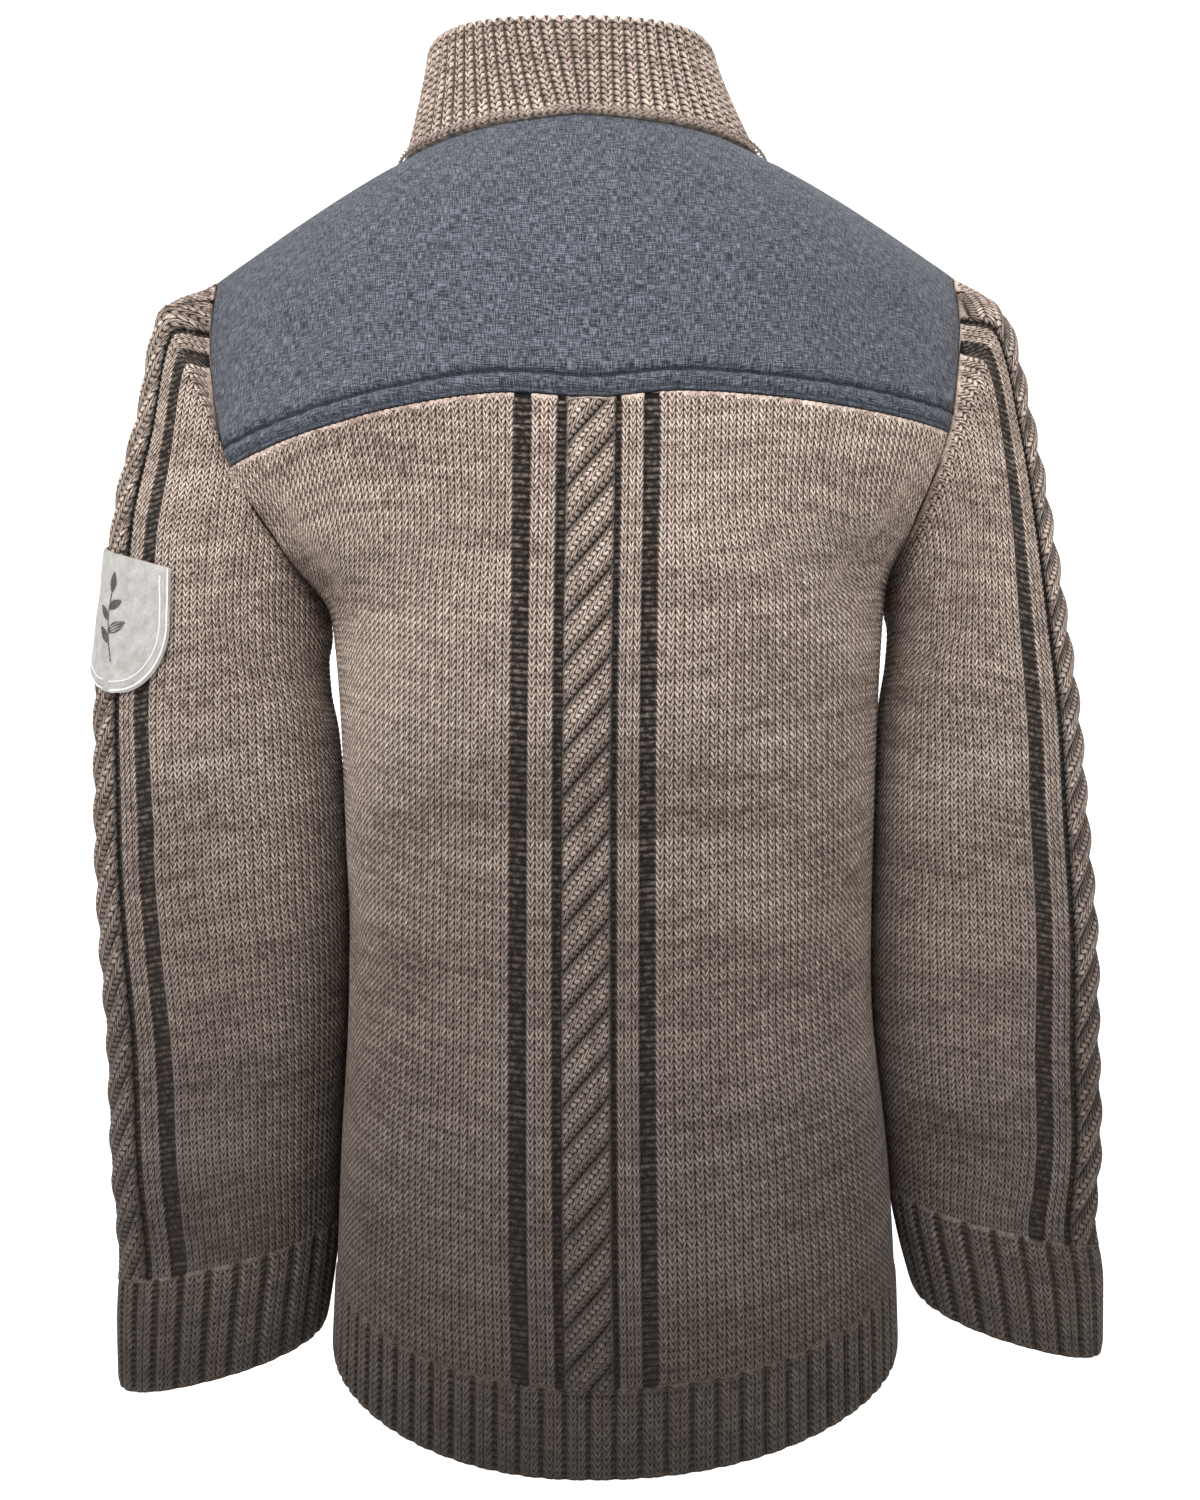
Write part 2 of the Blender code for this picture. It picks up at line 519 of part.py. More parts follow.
class Wall:
    """Points and triangles of one closed piece, gathered strip by strip."""

    def __init__(self):
        self.points = []
        self.triangles = []

    def add(self, points):
        first = len(self.points)
        self.points.extend(tuple(point) for point in points)
        return list(range(first, len(self.points)))

    def strip(self, left, right, left_at=None, right_at=None):
        """Join two lines that run the same way: seen from outside, with both running up, left is on the left."""
        left_at = np.linspace(0, 1, len(left)) if left_at is None else left_at
        right_at = np.linspace(0, 1, len(right)) if right_at is None else right_at
        i = j = 0
        while i < len(left) - 1 or j < len(right) - 1:
            if j == len(right) - 1 or (i < len(left) - 1 and left_at[i + 1] <= right_at[j + 1] + 1e-9):
                self.triangle(left[i], right[j], left[i + 1])
                i += 1
            else:
                self.triangle(left[i], right[j], right[j + 1])
                j += 1

    def triangle(self, a, b, c):
        if len({a, b, c}) == 3:
            self.triangles.append((a, b, c))

    def make(self, name, material, collection):
        mesh = bpy.data.meshes.new(name)
        mesh.from_pydata(self.points, [], self.triangles)
        mesh.update()
        mesh.materials.append(material)
        mesh.shade_smooth()
        mesh.set_sharp_from_angle(angle=math.radians(40))
        thing = bpy.data.objects.new(name, mesh)
        collection.objects.link(thing)
        return thing


def column(wall, line, ups, heights, turns=None):
    """One outer line of a wall: its points, its share of the width at its foot, and its places upwards."""
    points, normals = pick(line, ups)
    ids = wall.add(points + normals * np.broadcast_to(heights, len(ups))[:, None])
    return {"ids": ids, "share": share_of(line, ups[0]), "ups": ups / ups[-1], "turns": turns}


def rope_slant(place):
    """How many lobes higher a strand is at one place of the cable's width than in its middle."""
    return SLANT_EVEN * place + SLANT_AT_EDGES * math.asin(place) / (math.pi / 2)


def rope_height(place, turn):
    """Height of a rope cable: place runs -1 to 1 over its width, turn counts its lobes."""
    envelope = np.sqrt(np.maximum(1.0 - place ** 2, 0.0))
    lobe = np.abs(np.sin(np.pi * turn)) ** 0.6
    return CABLE_BASE + CABLE_HEIGHT * envelope * (0.22 + 0.78 * lobe)


def cable_columns(wall, sheet, centre, bottom, top_of, pitch):
    """Columns of a rope cable, whose points climb with its strands."""
    columns = []
    for place in CABLE_LINES:
        line = metric_line(sheet, centre + place * CABLE_WIDTH / 2)
        top = top_of(line)
        slant = rope_slant(place)
        lobes = int(top / pitch) + 2
        ups = bottom + (np.arange(-CABLE_STEPS, lobes * CABLE_STEPS) / CABLE_STEPS + slant) * pitch
        margin = 0.3 * pitch / CABLE_STEPS
        ups = np.concatenate([[bottom], ups[(ups > bottom + margin) & (ups < top - margin)], [top]])
        turns = (ups - bottom) / pitch - slant
        heights = rope_height(place, turns)
        heights[-1] = min(heights[-1], CABLE_END_HEIGHT)
        columns.append(column(wall, line, ups, heights, turns))
    return columns


def panel_columns(wall, sheet, steps, centre, bottom, top_of, rows):
    """Columns of the ribs and gutters beside a cable."""
    columns = []
    for step in steps:
        line = metric_line(sheet, centre + step.across)
        columns.append(column(wall, line, np.linspace(bottom, top_of(line), rows + 1), step.height))
    return columns


def join_columns(wall, columns):
    for left, right in zip(columns, columns[1:]):
        if left["turns"] is not None and right["turns"] is not None:
            wall.strip(left["ids"], right["ids"], left["turns"], right["turns"])
        else:
            wall.strip(left["ids"], right["ids"], left["ups"], right["ups"])


def rib_profile(first, last, count):
    """Places and heights of 2x1 ribs: a gutter, then a flat-topped rib, and so on."""
    step = (last - first) / count
    places, heights = [], []
    for k in range(count):
        for share, height in RIB_SHAPE:
            places.append(first + (k + share) * step)
            heights.append(height)
    return np.array(places + [last]), np.array(heights + [-GUTTER_DEPTH])


def rib_rows(wall, sheet, places, heights, height, closed):
    """Fine rows along the lower edge of a sheet, lowest first."""
    rows = []
    for rib_row in RIB_ROWS:
        row = []
        for place, relief in zip(places[:-1] if closed else places, heights):
            points, normals = pick(share_line(sheet, place), np.array([rib_row.share * height]))
            row.append(points[0] + normals[0] * relief * rib_row.strength)
        ids = wall.add(row)
        rows.append(ids + ids[:1] if closed else ids)
    for upper, lower in zip(rows[1:], rows):
        wall.strip(upper, lower, places, places)
    return rows


def inner_columns(wall, sheet, shares, rows, thickness, bottom_of, top_of, lift=None, seams=None,
                  drop=False):
    """Plain columns of the inner side of a wall. A seam's edge turns towards the middle of its armhole."""
    columns = []
    for share in shares:
        line = share_line(sheet, share)
        bottom, top = bottom_of(line), top_of(line)
        ups = np.linspace(bottom, top, rows + 1)
        points, normals = pick(line, ups)
        rise = lift(line, ups)[:, None] if lift else 0.0
        inside = points + normals * (rise - thickness)
        if drop:
            inside[-1] = points[-1] + normals[-1] * (rise[-1] if lift else 0.0) - np.array([0, 0, thickness])
        for edge_share, middle, from_row in seams or ():
            if share == edge_share:
                inside[:-1] = (points - unit(normals * np.array([1.0, 0.0, 1.0])) * thickness)[:-1]
                on_seam = ups >= line["up"][from_row] - SEAM_START_BELOW
                inside[on_seam] = points[on_seam] + unit(middle - points[on_seam]) * thickness
        columns.append({"ids": wall.add(inside), "share": share, "ups": ups / ups[-1]})
    for left, right in zip(columns, columns[1:]):
        wall.strip(right["ids"], left["ids"])
    return columns


def close_edges(wall, outer, inner, ribs=None, places=None, closed=False):
    """Join the outer and inner sides along all edges of a panel."""
    outer_foot = [entry["ids"][0] for entry in outer]
    outer_at = np.array([entry["share"] for entry in outer])
    inner_foot = [entry["ids"][0] for entry in inner]
    inner_at = np.array([entry["share"] for entry in inner])
    if ribs:
        wall.strip(outer_foot, ribs[-1], outer_at, places)
        wall.strip(ribs[0], inner_foot, places, inner_at)
    else:
        wall.strip(outer_foot, inner_foot, outer_at, inner_at)
    wall.strip([entry["ids"][-1] for entry in inner], [entry["ids"][-1] for entry in outer], inner_at, outer_at)
    if closed:
        return
    low = [row[0] for row in ribs] if ribs else []
    high = [row[-1] for row in ribs] if ribs else []
    low_at = [row.share * HEM_SHARE_OF_EDGE for row in RIB_ROWS[:len(low)]]
    wall.strip(inner[0]["ids"], low + outer[0]["ids"], inner[0]["ups"], low_at + list(outer[0]["ups"]))
    wall.strip(high + outer[-1]["ids"], inner[-1]["ids"], low_at + list(outer[-1]["ups"]), inner[-1]["ups"])


def edge_share(sheet, gap):
    """The share of the width that leaves a gap at the side seam."""
    return gap / (sheet["across"][0, -1] - sheet["across"][0, 0])


def make_back(back, armholes, material, collection):
    wall = Wall()
    low = edge_share(back, SEAM_GAP)

    def top_of(line):
        return yoke_edge_up(back, line) - SEAM_GAP

    def plain(shares):
        lines = [share_line(back, share) for share in shares]
        return [column(wall, line, np.linspace(HEM_HEIGHT, top_of(line), BODY_ROWS + 1), 0.0) for line in lines]

    outer = plain(np.linspace(low, BACK_PLAIN_END, 11))
    outer += panel_columns(wall, back, BACK_PANEL_LEFT, 0.0, HEM_HEIGHT, top_of, BODY_ROWS)
    outer += cable_columns(wall, back, 0.0, HEM_HEIGHT, top_of, CABLE_PITCH)
    outer += panel_columns(wall, back, BACK_PANEL_RIGHT, 0.0, HEM_HEIGHT, top_of, BODY_ROWS)
    outer += plain(np.linspace(1.0 - BACK_PLAIN_END, 1.0 - low, 11))
    join_columns(wall, outer)
    width = back["across"][0, -1] - back["across"][0, 0]
    places, heights = rib_profile(low, 1.0 - low, round(width / HEM_RIB_PITCH))
    ribs = rib_rows(wall, back, places, heights, HEM_HEIGHT, False)
    seam_row = back["rail_rows"]["underarm"]
    seams = ((low, armholes["left"], seam_row), (1.0 - low, armholes["right"], seam_row))
    shares = np.clip(YOKE_INNER_STATIONS, low, 1.0 - low)
    inner = inner_columns(wall, back, shares, INNER_ROWS, KNIT_WALL, lambda line: 0.0, top_of, seams=seams)
    close_edges(wall, outer, inner, ribs, places)
    return wall.make("back", material, collection)


def make_yoke(back, armholes, material, collection):
    wall = Wall()
    low = edge_share(back, SEAM_GAP)

    def top_of(line):
        return neck_top(line, NECK_BACK)

    def bottom_of(line):
        return yoke_edge_up(back, line) + SEAM_GAP

    shares = neck_corners(back, np.clip(YOKE_STATIONS, low, 1.0 - low))
    outer = []
    for share in shares:
        line = share_line(back, share)
        bottom, top = bottom_of(line), top_of(line)
        ups = np.concatenate([[bottom + band.up for band in YOKE_BAND],
                              np.linspace(bottom + YOKE_ABOVE_BAND.up, top, YOKE_ROWS + 1)])
        relief = np.concatenate([[band.relief for band in YOKE_BAND],
                                 np.linspace(YOKE_ABOVE_BAND.relief, 0.0, YOKE_ROWS + 1)])
        if share in (shares[0], shares[-1]):
            relief = 0.0 * relief
        outer.append(column(wall, line, ups, relief))
    join_columns(wall, outer)
    inner_shares = neck_corners(back, np.clip(YOKE_INNER_STATIONS, low, 1.0 - low))
    seams = ((low, armholes["left"], 0), (1.0 - low, armholes["right"], 0))
    inner = inner_columns(wall, back, inner_shares, YOKE_INNER_ROWS, CLOTH_WALL, bottom_of, top_of,
                          seams=seams, drop=True)
    close_edges(wall, outer, inner)
    return wall.make("yoke", material, collection)


def smooth_step(value):
    value = np.clip(value, 0.0, 1.0)
    return value * value * (3.0 - 2.0 * value)


def front_lift(front, line, ups):
    """The left front rises towards the band that laps over the other."""
    shares = np.interp(ups, line["up"], line["shares"])
    distance = np.abs(shares - 0.5) * (front["across"][0, -1] - front["across"][0, 0])
    near_edge = smooth_step((FRONT_LIFT_FLAT + FRONT_LIFT_RUN - distance) / FRONT_LIFT_RUN)
    below_neck = smooth_step((neck_top(line, NECK_FRONT) - ups) / FRONT_LIFT_RUN)
    return FRONT_LIFT * near_edge * below_neck


def make_front(name, front, side, armhole, material, collection):
    """One front, from its side seam to its button band. The wearer's right is side +1."""
    wall = Wall()
    low = edge_share(front, SEAM_GAP)
    width = front["across"][0, -1] - front["across"][0, 0]

    def top_of(line):
        return neck_top(line, NECK_FRONT)

    def lift(line, ups):
        return front_lift(front, line, ups) if side < 0 else np.zeros(len(ups))

    band_share = (BAND_WIDTH / 2 + BAND_GAP) / width
    plain_shares = np.concatenate([np.linspace(low, FRONT_BESIDE_NECK, 6),
                                   np.linspace(FRONT_UNDER_NECK, 0.5 - band_share, 7)])
    if side < 0:
        plain_shares = 1.0 - plain_shares[::-1]
    shares = neck_corners(front, plain_shares)
    outer = []
    for share in shares:
        line = share_line(front, share)
        ups = np.linspace(HEM_HEIGHT, top_of(line), BODY_ROWS + 1)
        outer.append(column(wall, line, ups, lift(line, ups)))
    join_columns(wall, outer)
    count = round(width * (shares[-1] - shares[0]) / HEM_RIB_PITCH)
    places, heights = rib_profile(shares[0], shares[-1], count)
    half_up = np.array([HEM_HEIGHT / 2])
    heights = heights + [float(lift(share_line(front, place), half_up)[0]) for place in places]
    ribs = rib_rows(wall, front, places, heights, HEM_HEIGHT, False)
    edge = low if side > 0 else 1.0 - low
    seams = ((edge, armhole, front["rail_rows"]["underarm"]),)
    inner_shares = np.concatenate([plain_shares[:1], plain_shares[2:-1:2], plain_shares[-1:]])
    inner_shares = neck_corners(front, inner_shares)
    inner = inner_columns(wall, front, inner_shares, INNER_ROWS, KNIT_WALL, lambda line: 0.0, top_of,
                          lift=lift, seams=seams, drop=True)
    close_edges(wall, outer, inner, ribs, places)
    return wall.make(name, material, collection)


def make_band(name, front, offset, shorten, material, collection):
    """A ribbed strip up the middle of the front."""
    wall = Wall()
    half = BAND_WIDTH / 2 / (front["across"][0, -1] - front["across"][0, 0])

    def top_of(line):
        return neck_top(line, NECK_FRONT) - shorten

    places, heights = rib_profile(0.5 - half, 0.5 + half, 3)
    outer = []
    for place, relief in zip(places, heights):
        line = share_line(front, place)
        outer.append(column(wall, line, np.linspace(0.0, top_of(line), BAND_ROWS + 1), relief + offset))
    join_columns(wall, outer)
    inner = inner_columns(wall, front, np.linspace(0.5 - half, 0.5 + half, 7), BAND_ROWS, BAND_WALL,
                          lambda line: 0.0, top_of, lift=lambda line, ups: np.full(len(ups), offset))
    close_edges(wall, outer, inner)
    return wall.make(name, material, collection)


def make_sleeve(name, sheet, side, armhole, material, collection):
    wall = Wall()
    centre = -side * CABLE_BEHIND_OUTER_LINE

    def top_of(line):
        return line["up"][-1]

    def plain(shares):
        lines = [share_line(sheet, share) for share in shares]
        return [column(wall, line, np.linspace(CUFF_HEIGHT, top_of(line), SLEEVE_ROWS + 1), 0.0)
                for line in lines]

    before, after = SLEEVE_PLAIN_ENDS[side]
    mirrored = tuple(Step(-step.across, step.height) for step in reversed(SLEEVE_PANEL_SIDE))
    outer = plain(np.linspace(0.0, before, round(before * SLEEVE_PLAIN_DENSITY) + 1))
    outer += panel_columns(wall, sheet, mirrored, centre, CUFF_HEIGHT, top_of, SLEEVE_ROWS)
    outer += cable_columns(wall, sheet, centre, CUFF_HEIGHT, top_of, SLEEVE_CABLE_PITCH)
    outer += panel_columns(wall, sheet, SLEEVE_PANEL_SIDE, centre, CUFF_HEIGHT, top_of, SLEEVE_ROWS)
    outer += plain(np.linspace(after, 1.0, round((1 - after) * SLEEVE_PLAIN_DENSITY) + 1)[:-1])
    outer.append(dict(outer[0], share=1.0))
    join_columns(wall, outer)
    girth = sheet["across"][0, -1] - sheet["across"][0, 0]
    places, heights = rib_profile(0.0, 1.0, round(girth / CUFF_RIB_PITCH))
    ribs = rib_rows(wall, sheet, places, heights, CUFF_HEIGHT, True)
    inner = []
    for share in np.linspace(0.0, 1.0, SLEEVE_INNER_COLUMNS + 1)[:-1]:
        line = share_line(sheet, share)
        ups = np.linspace(0.0, top_of(line), INNER_ROWS)
        points, normals = pick(line, ups)
        inside = points - normals * KNIT_WALL
        inside[-1] = points[-1] + unit(armhole - points[-1]) * KNIT_WALL
        inner.append({"ids": wall.add(inside), "share": share, "ups": ups / ups[-1]})
    inner.append(dict(inner[0], share=1.0))
    for left, right in zip(inner, inner[1:]):
        wall.strip(right["ids"], left["ids"])
    close_edges(wall, outer, inner, ribs, places, closed=True)
    return wall.make(name, material, collection)


def neck_heights(back, front, angles):
    """Height of the cloth under the neckline, at angles from the centre front, anticlockwise from above."""
    heights = []
    for angle in angles:
        depth = NECK_FRONT if math.cos(angle) > 0 else NECK_BACK
        place = np.array([-NECK_HALF_WIDTH * math.sin(angle), depth * math.cos(angle)])
        sheet = front if place[1] > 0.02 else back
        cloth = sheet["points"][sheet["rail_rows"]["underarm"]:].reshape(-1, 3)
        distance = np.linalg.norm(cloth[:, :2] - place, axis=1)
        nearest = np.argsort(distance)[:6]
        weight = 1.0 / (distance[nearest] + 0.0005)
        heights.append(float(np.sum(cloth[nearest, 2] * weight) / np.sum(weight)))
    return np.array(heights)


def collar_line(share, angles, seam_angles, seam_heights):
    """Points of the collar's own surface at one share of its height."""
    depth = np.where(np.cos(angles) > 0, NECK_FRONT, NECK_BACK)
    base = np.stack([-NECK_HALF_WIDTH * np.sin(angles), depth * np.cos(angles),
                     np.interp(angles, seam_angles, seam_heights) + NECK_GAP], axis=1)
    across = np.sign(np.sin(angles)) * np.abs(np.sin(angles)) ** (2 / COLLAR_FULLNESS)
    deep = np.sign(np.cos(angles)) * np.abs(np.cos(angles)) ** (2 / COLLAR_FULLNESS)
    depth = np.where(np.cos(angles) > 0, COLLAR_TOP_FRONT, COLLAR_TOP_BACK)
    drop = COLLAR_TOP_FRONT_DROP * smooth_step((np.cos(angles) + 0.3) / 1.3)
    top = np.stack([COLLAR_TOP_LEAN - COLLAR_TOP_HALF_WIDTH * across, depth * deep, COLLAR_TOP_Z - drop], axis=1)
    inward = 1.0 - (1.0 - share) ** COLLAR_BEND
    level = np.array([1.0, 1.0, 0.0]) * inward + np.array([0.0, 0.0, 1.0]) * share
    return base + (top - base) * level


def make_collar(back, front, material, collection):
    wall = Wall()
    seam_angles = np.linspace(0.0, 2 * math.pi, 73)
    seam_heights = neck_heights(back, front, seam_angles)
    ends = COLLAR_FRONT_GAP / 2 / NECK_HALF_WIDTH
    all_round = np.linspace(ends, 2 * math.pi - ends, 400)
    along = run_lengths(collar_line(0.5, all_round, seam_angles, seam_heights))
    count = round(along[-1] / COLLAR_RIB_PITCH)
    fine = np.interp(np.linspace(0, along[-1], 2 * count + 1), along, all_round)
    coarse = np.linspace(ends, 2 * math.pi - ends, COLLAR_INNER_COLUMNS + 1)
    crest = np.where(np.arange(len(fine)) % 2 == 1, COLLAR_RIB_HEIGHT, -COLLAR_RIB_HEIGHT)

    def ring(share, out, angles):
        points = collar_line(share, angles, seam_angles, seam_heights)
        flat = np.gradient(points, angles, axis=0) * np.array([1.0, 1.0, 0.0])
        outward = unit(np.stack([flat[:, 1], -flat[:, 0], flat[:, 2]], axis=1))
        return points + outward * np.broadcast_to(out, len(angles))[:, None]

    outer = [wall.add(ring(row.share, row.out + crest * row.relief, fine)) for row in COLLAR_ROWS]
    for lower, upper in zip(outer, outer[1:]):
        wall.strip(upper, lower, fine, fine)
    inner = [wall.add(ring(share, -COLLAR_WALL, coarse)) for share in COLLAR_INNER_SHARES]
    wall.strip(inner[0], outer[-1], coarse, fine)
    for upper, lower in zip(inner, inner[1:]):
        wall.strip(lower, upper, coarse, coarse)
    wall.strip(outer[0], inner[-1], fine, coarse)
    inner_up = inner[::-1]
    wall.strip([row[0] for row in inner_up], [row[0] for row in outer])
    wall.strip([row[-1] for row in outer], [row[-1] for row in inner_up])
    return wall.make("collar", material, collection)


def make_patch(sheet, material, collection):
    """A felt patch with a straight top and a round foot, bent over the sleeve and its cable."""
    wall = Wall()

    def lift(distance):
        beside = np.abs(distance - CABLE_BEHIND_OUTER_LINE)
        return PATCH_CLEAR + PATCH_OVER_CABLE * smooth_step((PATCH_OVER_CABLE_REACH - beside)
                                                            / PATCH_OVER_CABLE_RUN)

    def lines(offset, count):
        rows = []
        for up_share in PATCH_ROWS:
            fall = max(0.0, 1.0 - up_share / PATCH_ROUND_SHARE)
            left_over = max(1.0 - fall ** PATCH_CORNER_FULLNESS, PATCH_POINT_SHARE)
            half = PATCH_WIDTH / 2 * left_over ** (1 / PATCH_CORNER_FULLNESS)
            row = []
            for distance in PATCH_CENTRE_BACK + np.linspace(-half, half, count):
                line = metric_line(sheet, distance)
                tilt = PATCH_SIDE_FALL * (distance - PATCH_CENTRE_BACK) / PATCH_WIDTH
                up = PATCH_BOTTOM_UP + up_share * PATCH_HEIGHT - tilt
                points, normals = pick(line, np.array([up]))
                row.append(points[0] + normals[0] * (offset + lift(distance)))
            rows.append(wall.add(row))
        return rows

    outer = lines(PATCH_WALL, PATCH_COLUMNS)
    inner = lines(0.0, PATCH_INNER_COLUMNS)
    for lower, upper in zip(outer, outer[1:]):
        wall.strip(upper, lower)
    for lower, upper in zip(inner, inner[1:]):
        wall.strip(lower, upper)
    wall.strip(outer[0], inner[0])
    wall.strip(inner[-1], outer[-1])
    wall.strip([row[0] for row in inner], [row[0] for row in outer])
    wall.strip([row[-1] for row in outer], [row[-1] for row in inner])
    return wall.make("patch", material, collection)


def make_buttons(front, material, collection):
    """Turned buttons with a raised rim, one below the other on the upper band."""
    profile = ((0.0, BUTTON_THICKNESS * 0.62), (BUTTON_RADIUS * 0.62, BUTTON_THICKNESS * 0.62),
               (BUTTON_RADIUS * 0.80, BUTTON_THICKNESS), (BUTTON_RADIUS, BUTTON_THICKNESS * 0.75),
               (BUTTON_RADIUS * 0.94, 0.0), (0.0, 0.0))
    mesh = bpy.data.meshes.new("button_profile")
    mesh.from_pydata([(radius, 0.0, height) for radius, height in profile],
                     [(i, i + 1) for i in range(len(profile) - 1)], [])
    mesh.materials.append(material)
    line = share_line(front, 0.5)
    top = neck_top(line, NECK_FRONT)
    rest = OVER_BAND_OFFSET + RIB_HEIGHT + SEAM_GAP
    for index, up in enumerate(np.linspace(FIRST_BUTTON_UP, top - LAST_BUTTON_DOWN, BUTTON_COUNT)):
        points, normals = pick(line, np.array([up]))
        button = bpy.data.objects.new("button_%d" % (index + 1), mesh)
        turn = button.modifiers.new("turned", "SCREW")
        turn.steps = turn.render_steps = BUTTON_STEPS
        turn.use_merge_vertices = True
        turn.merge_threshold = 0.00005
        normal = Vector(normals[0])
        button.rotation_mode = "QUATERNION"
        button.rotation_quaternion = normal.to_track_quat("Z", "Y")
        button.location = Vector(points[0]) + normal * rest
        collection.objects.link(button)


def main():
    clear_scene()
    collection = bpy.data.collections.new("cable_knit_cardigan")
    bpy.context.scene.collection.children.link(collection)
    knit = fabric("heather_wool_knit", COLOURS["knit"])
    cloth = fabric("woven_wool_cloth", COLOURS["yoke"])
    ribbing = fabric("heather_wool_rib", COLOURS["collar"])
    felt = fabric("wool_felt", COLOURS["felt"])
    horn = fabric("dark_horn", COLOURS["horn"], 0.35)

    back = body_sheet(BACK_RAILS, BACK_FOLDS, False)
    front = body_sheet(front_rails(), FRONT_FOLDS, True)
    lines = {"left": armhole_line(back, front, -1), "right": armhole_line(back, front, 1)}
    middles = {side: line.mean(axis=0) for side, line in lines.items()}
    make_back(back, middles, knit, collection)
    make_yoke(back, middles, cloth, collection)
    make_front("front_right", front, 1, middles["right"], knit, collection)
    make_front("front_left", front, -1, middles["left"], knit, collection)
    make_band("button_band_right", front, 0.0, BAND_SHORTER_UNDER, ribbing, collection)
    make_band("button_band_left", front, OVER_BAND_OFFSET, BAND_SHORTER_OVER, ribbing, collection)
    make_buttons(front, horn, collection)
    left = sleeve_sheet(LEFT_RINGS, lines["left"], -1, SLEEVE_FOLDS_LEFT)
    right = sleeve_sheet(RIGHT_RINGS, lines["right"], 1, SLEEVE_FOLDS_RIGHT)
    make_sleeve("sleeve_left", left, -1, middles["left"], knit, collection)
    make_sleeve("sleeve_right", right, 1, middles["right"], knit, collection)
    make_collar(back, front, ribbing, collection)
    make_patch(left, felt, collection)


main()
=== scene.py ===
"""Looks of a cable knit cardigan in the shape it has when worn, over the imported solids, in metres.

+Z is up and the wearer faces +Y, so the knitted back faces -Y and the wearer's left arm is at -X.
Each cloth piece is a closed thin shell on the form of its solid. Stitches, ribs and cables are in the mesh,
and the yarn's plies, fibres and tones are in the materials.
"""
import math
from collections import namedtuple

import bmesh
import bpy
import numpy as np
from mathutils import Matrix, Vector


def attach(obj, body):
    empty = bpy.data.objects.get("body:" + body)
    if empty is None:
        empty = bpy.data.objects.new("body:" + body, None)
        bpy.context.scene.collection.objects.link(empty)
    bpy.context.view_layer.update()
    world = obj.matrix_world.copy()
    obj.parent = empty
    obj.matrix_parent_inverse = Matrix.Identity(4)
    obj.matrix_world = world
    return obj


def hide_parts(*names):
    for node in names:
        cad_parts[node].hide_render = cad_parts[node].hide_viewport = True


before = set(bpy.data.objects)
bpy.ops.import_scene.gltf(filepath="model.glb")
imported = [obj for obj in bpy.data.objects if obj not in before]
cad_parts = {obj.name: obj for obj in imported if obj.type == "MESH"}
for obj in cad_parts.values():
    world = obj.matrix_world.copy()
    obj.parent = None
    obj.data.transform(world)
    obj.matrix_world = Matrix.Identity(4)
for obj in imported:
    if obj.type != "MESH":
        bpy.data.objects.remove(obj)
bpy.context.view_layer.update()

bl_info = {
    "name": "Cable knit cardigan",
    "version": (1, 0, 0),
    "blender": (4, 5, 0),
    "location": "3D View > Sidebar > Cardigan",
    "description": "Dresses the solids of a cardigan in knitted and woven cloth",
    "category": "Object",
}

# Mesh density of the smooth sheets that the cloth is read from
STEPS_PER_ROW = 8
HALF_COLUMNS = 60
RAIL_POINTS = 90
RING_POINTS = 360
SHARP_FROM_DEGREES = 75

# Stitches: one wale across, one course up, the relief of the yarn, and where a stitch's two legs lie
WALE = 0.00485
COURSE = 0.00357
WALE_VALLEY = -0.0007
WALE_CREST = 0.00035
LEG_PLACES = (0.30, 0.70)
LEG_SHIFT = 0.7
LEG_ROLL = 0.00014
LEG_MAP = (0.27, 1.02)

# Walls and seams
KNIT_WALL = 0.003
CLOTH_WALL = 0.0028
COLLAR_WALL = 0.0058
BAND_WALL = 0.003
SEAM_GAP = 0.0003
SEAM_START_BELOW = 0.004
ARMHOLE_GAP = 0.0008
NECK_GAP = 0.0008
LAP_GAP = 0.0008
BAND_GAP = 0.0001

# Knit relief, measured from the plain knit surface
RIB_HEIGHT = 0.0010
GUTTER_DEPTH = 0.0012
CABLE_WIDTH = 0.025
CABLE_PITCH = 0.0224
SLEEVE_CABLE_PITCH = 0.0262
CABLE_BASE = 0.0004
CABLE_HEIGHT = 0.0042
HEM_HEIGHT = 0.047
HEM_RIB_PITCH = 0.0125
CUFF_HEIGHT = 0.064
CUFF_RIB_PITCH = 0.0150
COLLAR_RIB_PITCH = 0.0072

# Neck opening, seen from above
NECK_HALF_WIDTH = 0.107
NECK_BACK = 0.075
NECK_FRONT = 0.085

# Front closure
BAND_WIDTH = 0.036
BUTTON_COUNT = 6
BUTTON_RADIUS = 0.0105
BUTTON_THICKNESS = 0.0042
FIRST_BUTTON_UP = 0.035
LAST_BUTTON_DOWN = 0.052

FRONT_LIFT = 0.0032
FRONT_LIFT_RUN = 0.030
FRONT_LIFT_FLAT = 0.020
OVER_BAND_OFFSET = BAND_WALL + RIB_HEIGHT + LAP_GAP
BAND_SHORTER_UNDER = 0.001
BAND_SHORTER_OVER = 0.007
